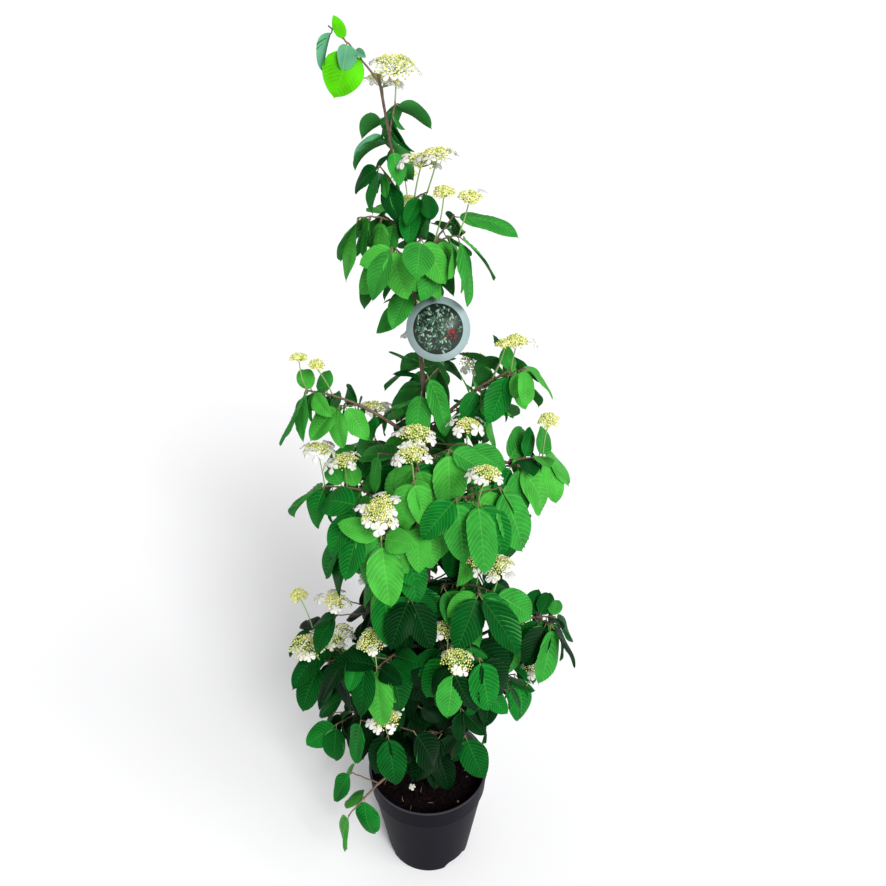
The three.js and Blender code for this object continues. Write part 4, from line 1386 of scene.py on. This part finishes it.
# Tag: a blank card with a plain round panel of simple leaf shapes and a few red dots
CARD_SIDES = 72
PANEL_SHARE = 0.78
MOTIF_LEAVES = 260
MOTIF_SEED = 12000
MOTIF_REACH = 0.72
MOTIF_OUTLINE = ((1, 0), (0.2, 0.42), (-0.8, 0.3), (-1, 0), (-0.8, -0.3), (0.2, -0.42))
DOTS = 26
DOTS_SEED = 13000
DOTS_AT = Vector((14, -12, 0))
DOTS_REACH = 7
DOTS_ROOM = 9
card_top = TAG_THICK / 2
tag_piece = Piece("tag_card", TAG_SLOTS)
tag_piece.add(*disc(TAG_RADIUS, -card_top, card_top, CARD_SIDES), 0)
tag_piece.add(*disc(TAG_RADIUS * PANEL_SHARE, card_top - 0.05, card_top + 0.12, CARD_SIDES), 1)
for i in range(MOTIF_LEAVES):
    seed = MOTIF_SEED + i
    spot = in_disc(TAG_RADIUS * MOTIF_REACH, seed, 2, 1)
    if (spot - DOTS_AT).length < DOTS_ROOM:
        continue
    along = compass(360 * chance(seed, 3)) * between(1.4, 3.2, seed, 4)
    across = UP.cross(along)
    level = card_top + 0.14 + 0.0006 * i
    layers = (level - 0.1, level)
    rings = [[tag_point(spot + along * a + across * b, z) for a, b in MOTIF_OUTLINE] for z in layers]
    tag_piece.add(*loft(rings, *[tag_point(spot, z) for z in layers]), 2 if chance(seed, 5) < 0.7 else 3)
for seed in range(DOTS_SEED, DOTS_SEED + DOTS):
    tag_piece.add(*ball(tag_point(DOTS_AT + in_disc(DOTS_REACH, seed, 2, 1), card_top + 0.3), 1.1, 0.8), 4)
tag_piece.build("tag", ["tag_plate"])


def band(line, widths):
    """A flat band along a line, its flat side facing away from the leader."""
    rings = []
    for i, point in enumerate(line):
        along = course(line, i)
        out = along.cross(TAG_UP if abs(along.dot(TAG_UP)) < 0.6 else TAG_RIGHT).normalized()
        side = out.cross(along).normalized()
        rings.append([point + out * a * STRAP_THICK / 2 + side * b * widths[i] / 2
                      for a, b in ((-1, -1), (1, -1), (1, 1), (-1, 1))])
    return loft(rings, line[0], line[-1])


loop_radius = leader_radius(TAG_HEIGHT) + 2 * GAP + STRAP_THICK / 2
loop = [leader_at(TAG_HEIGHT) + compass(15 * i) * loop_radius for i in range(25)]
tongue = straight(leader_at(TAG_HEIGHT) + compass(TAG_HEADING) * loop_radius, TAG_TOP - TAG_UP * STRAP_LAP)
strap_piece = Piece("tag_loop", [TAG_CARD])
strap_piece.add(*band(loop, [STRAP_WIDTH] * len(loop)), 0)
strap_piece.add(*band(steps_of(tongue, 6), steps_of(taper(STRAP_WIDTH * 0.8, STRAP_WIDTH * 1.6), 6)), 0)
strap_piece.build("tag", ["tag_strap"])

# Floor in metres, light and camera
FLOOR_SIZE = 60
floor_mesh = bpy.data.meshes.new("floor")
half = FLOOR_SIZE / 2
floor_mesh.from_pydata([(-half, -half, 0), (half, -half, 0), (half, half, 0), (-half, half, 0)], [],
                       [(0, 1, 2, 3)])
floor = placed("floor", floor_mesh)
floor_mesh.materials.append(material("floor_paper", (0.88, 0.88, 0.89, 1), 0.9, 0.005, 0.5))

world = bpy.data.worlds.new("studio")
world.use_nodes = True
background = world.node_tree.nodes["Background"]
background.inputs["Color"].default_value = (1, 1, 1, 1)
background.inputs["Strength"].default_value = 0.5
bpy.context.scene.world = world


def soft_light(name, energy, heading, rise, width):
    """A broad far light from a heading and a height above the floor, both in degrees."""
    data = bpy.data.lights.new(name, "SUN")
    data.energy = energy
    data.angle = math.radians(width)
    aim = compass(heading) * math.cos(math.radians(rise)) + UP * math.sin(math.radians(rise))
    placed(name, data).rotation_euler = aim.to_track_quat("Z", "Y").to_euler()


soft_light("key", 2.5, -67, 40, 20)
soft_light("side", 0.85, -36, 46, 30)

# The eye in metres, how far it looks down in degrees, and the lens in pixels of the photo
EYE_HEIGHT = 1.666
EYE_BACK = 1.137
EYE_SIDE = 0.025
EYE_PITCH = 35.2
FOCAL_PIXELS = 1050
PHOTO_WIDTH = 886
camera_data = bpy.data.cameras.new("camera")
camera_data.sensor_width = 36
camera_data.lens = FOCAL_PIXELS / PHOTO_WIDTH * camera_data.sensor_width
camera = placed("camera", camera_data)
camera.location = (EYE_SIDE, -EYE_BACK, EYE_HEIGHT)
camera.rotation_euler = (math.radians(90 - EYE_PITCH), 0, 0)
bpy.context.scene.camera = camera
bpy.context.scene.view_settings.view_transform = "Standard"
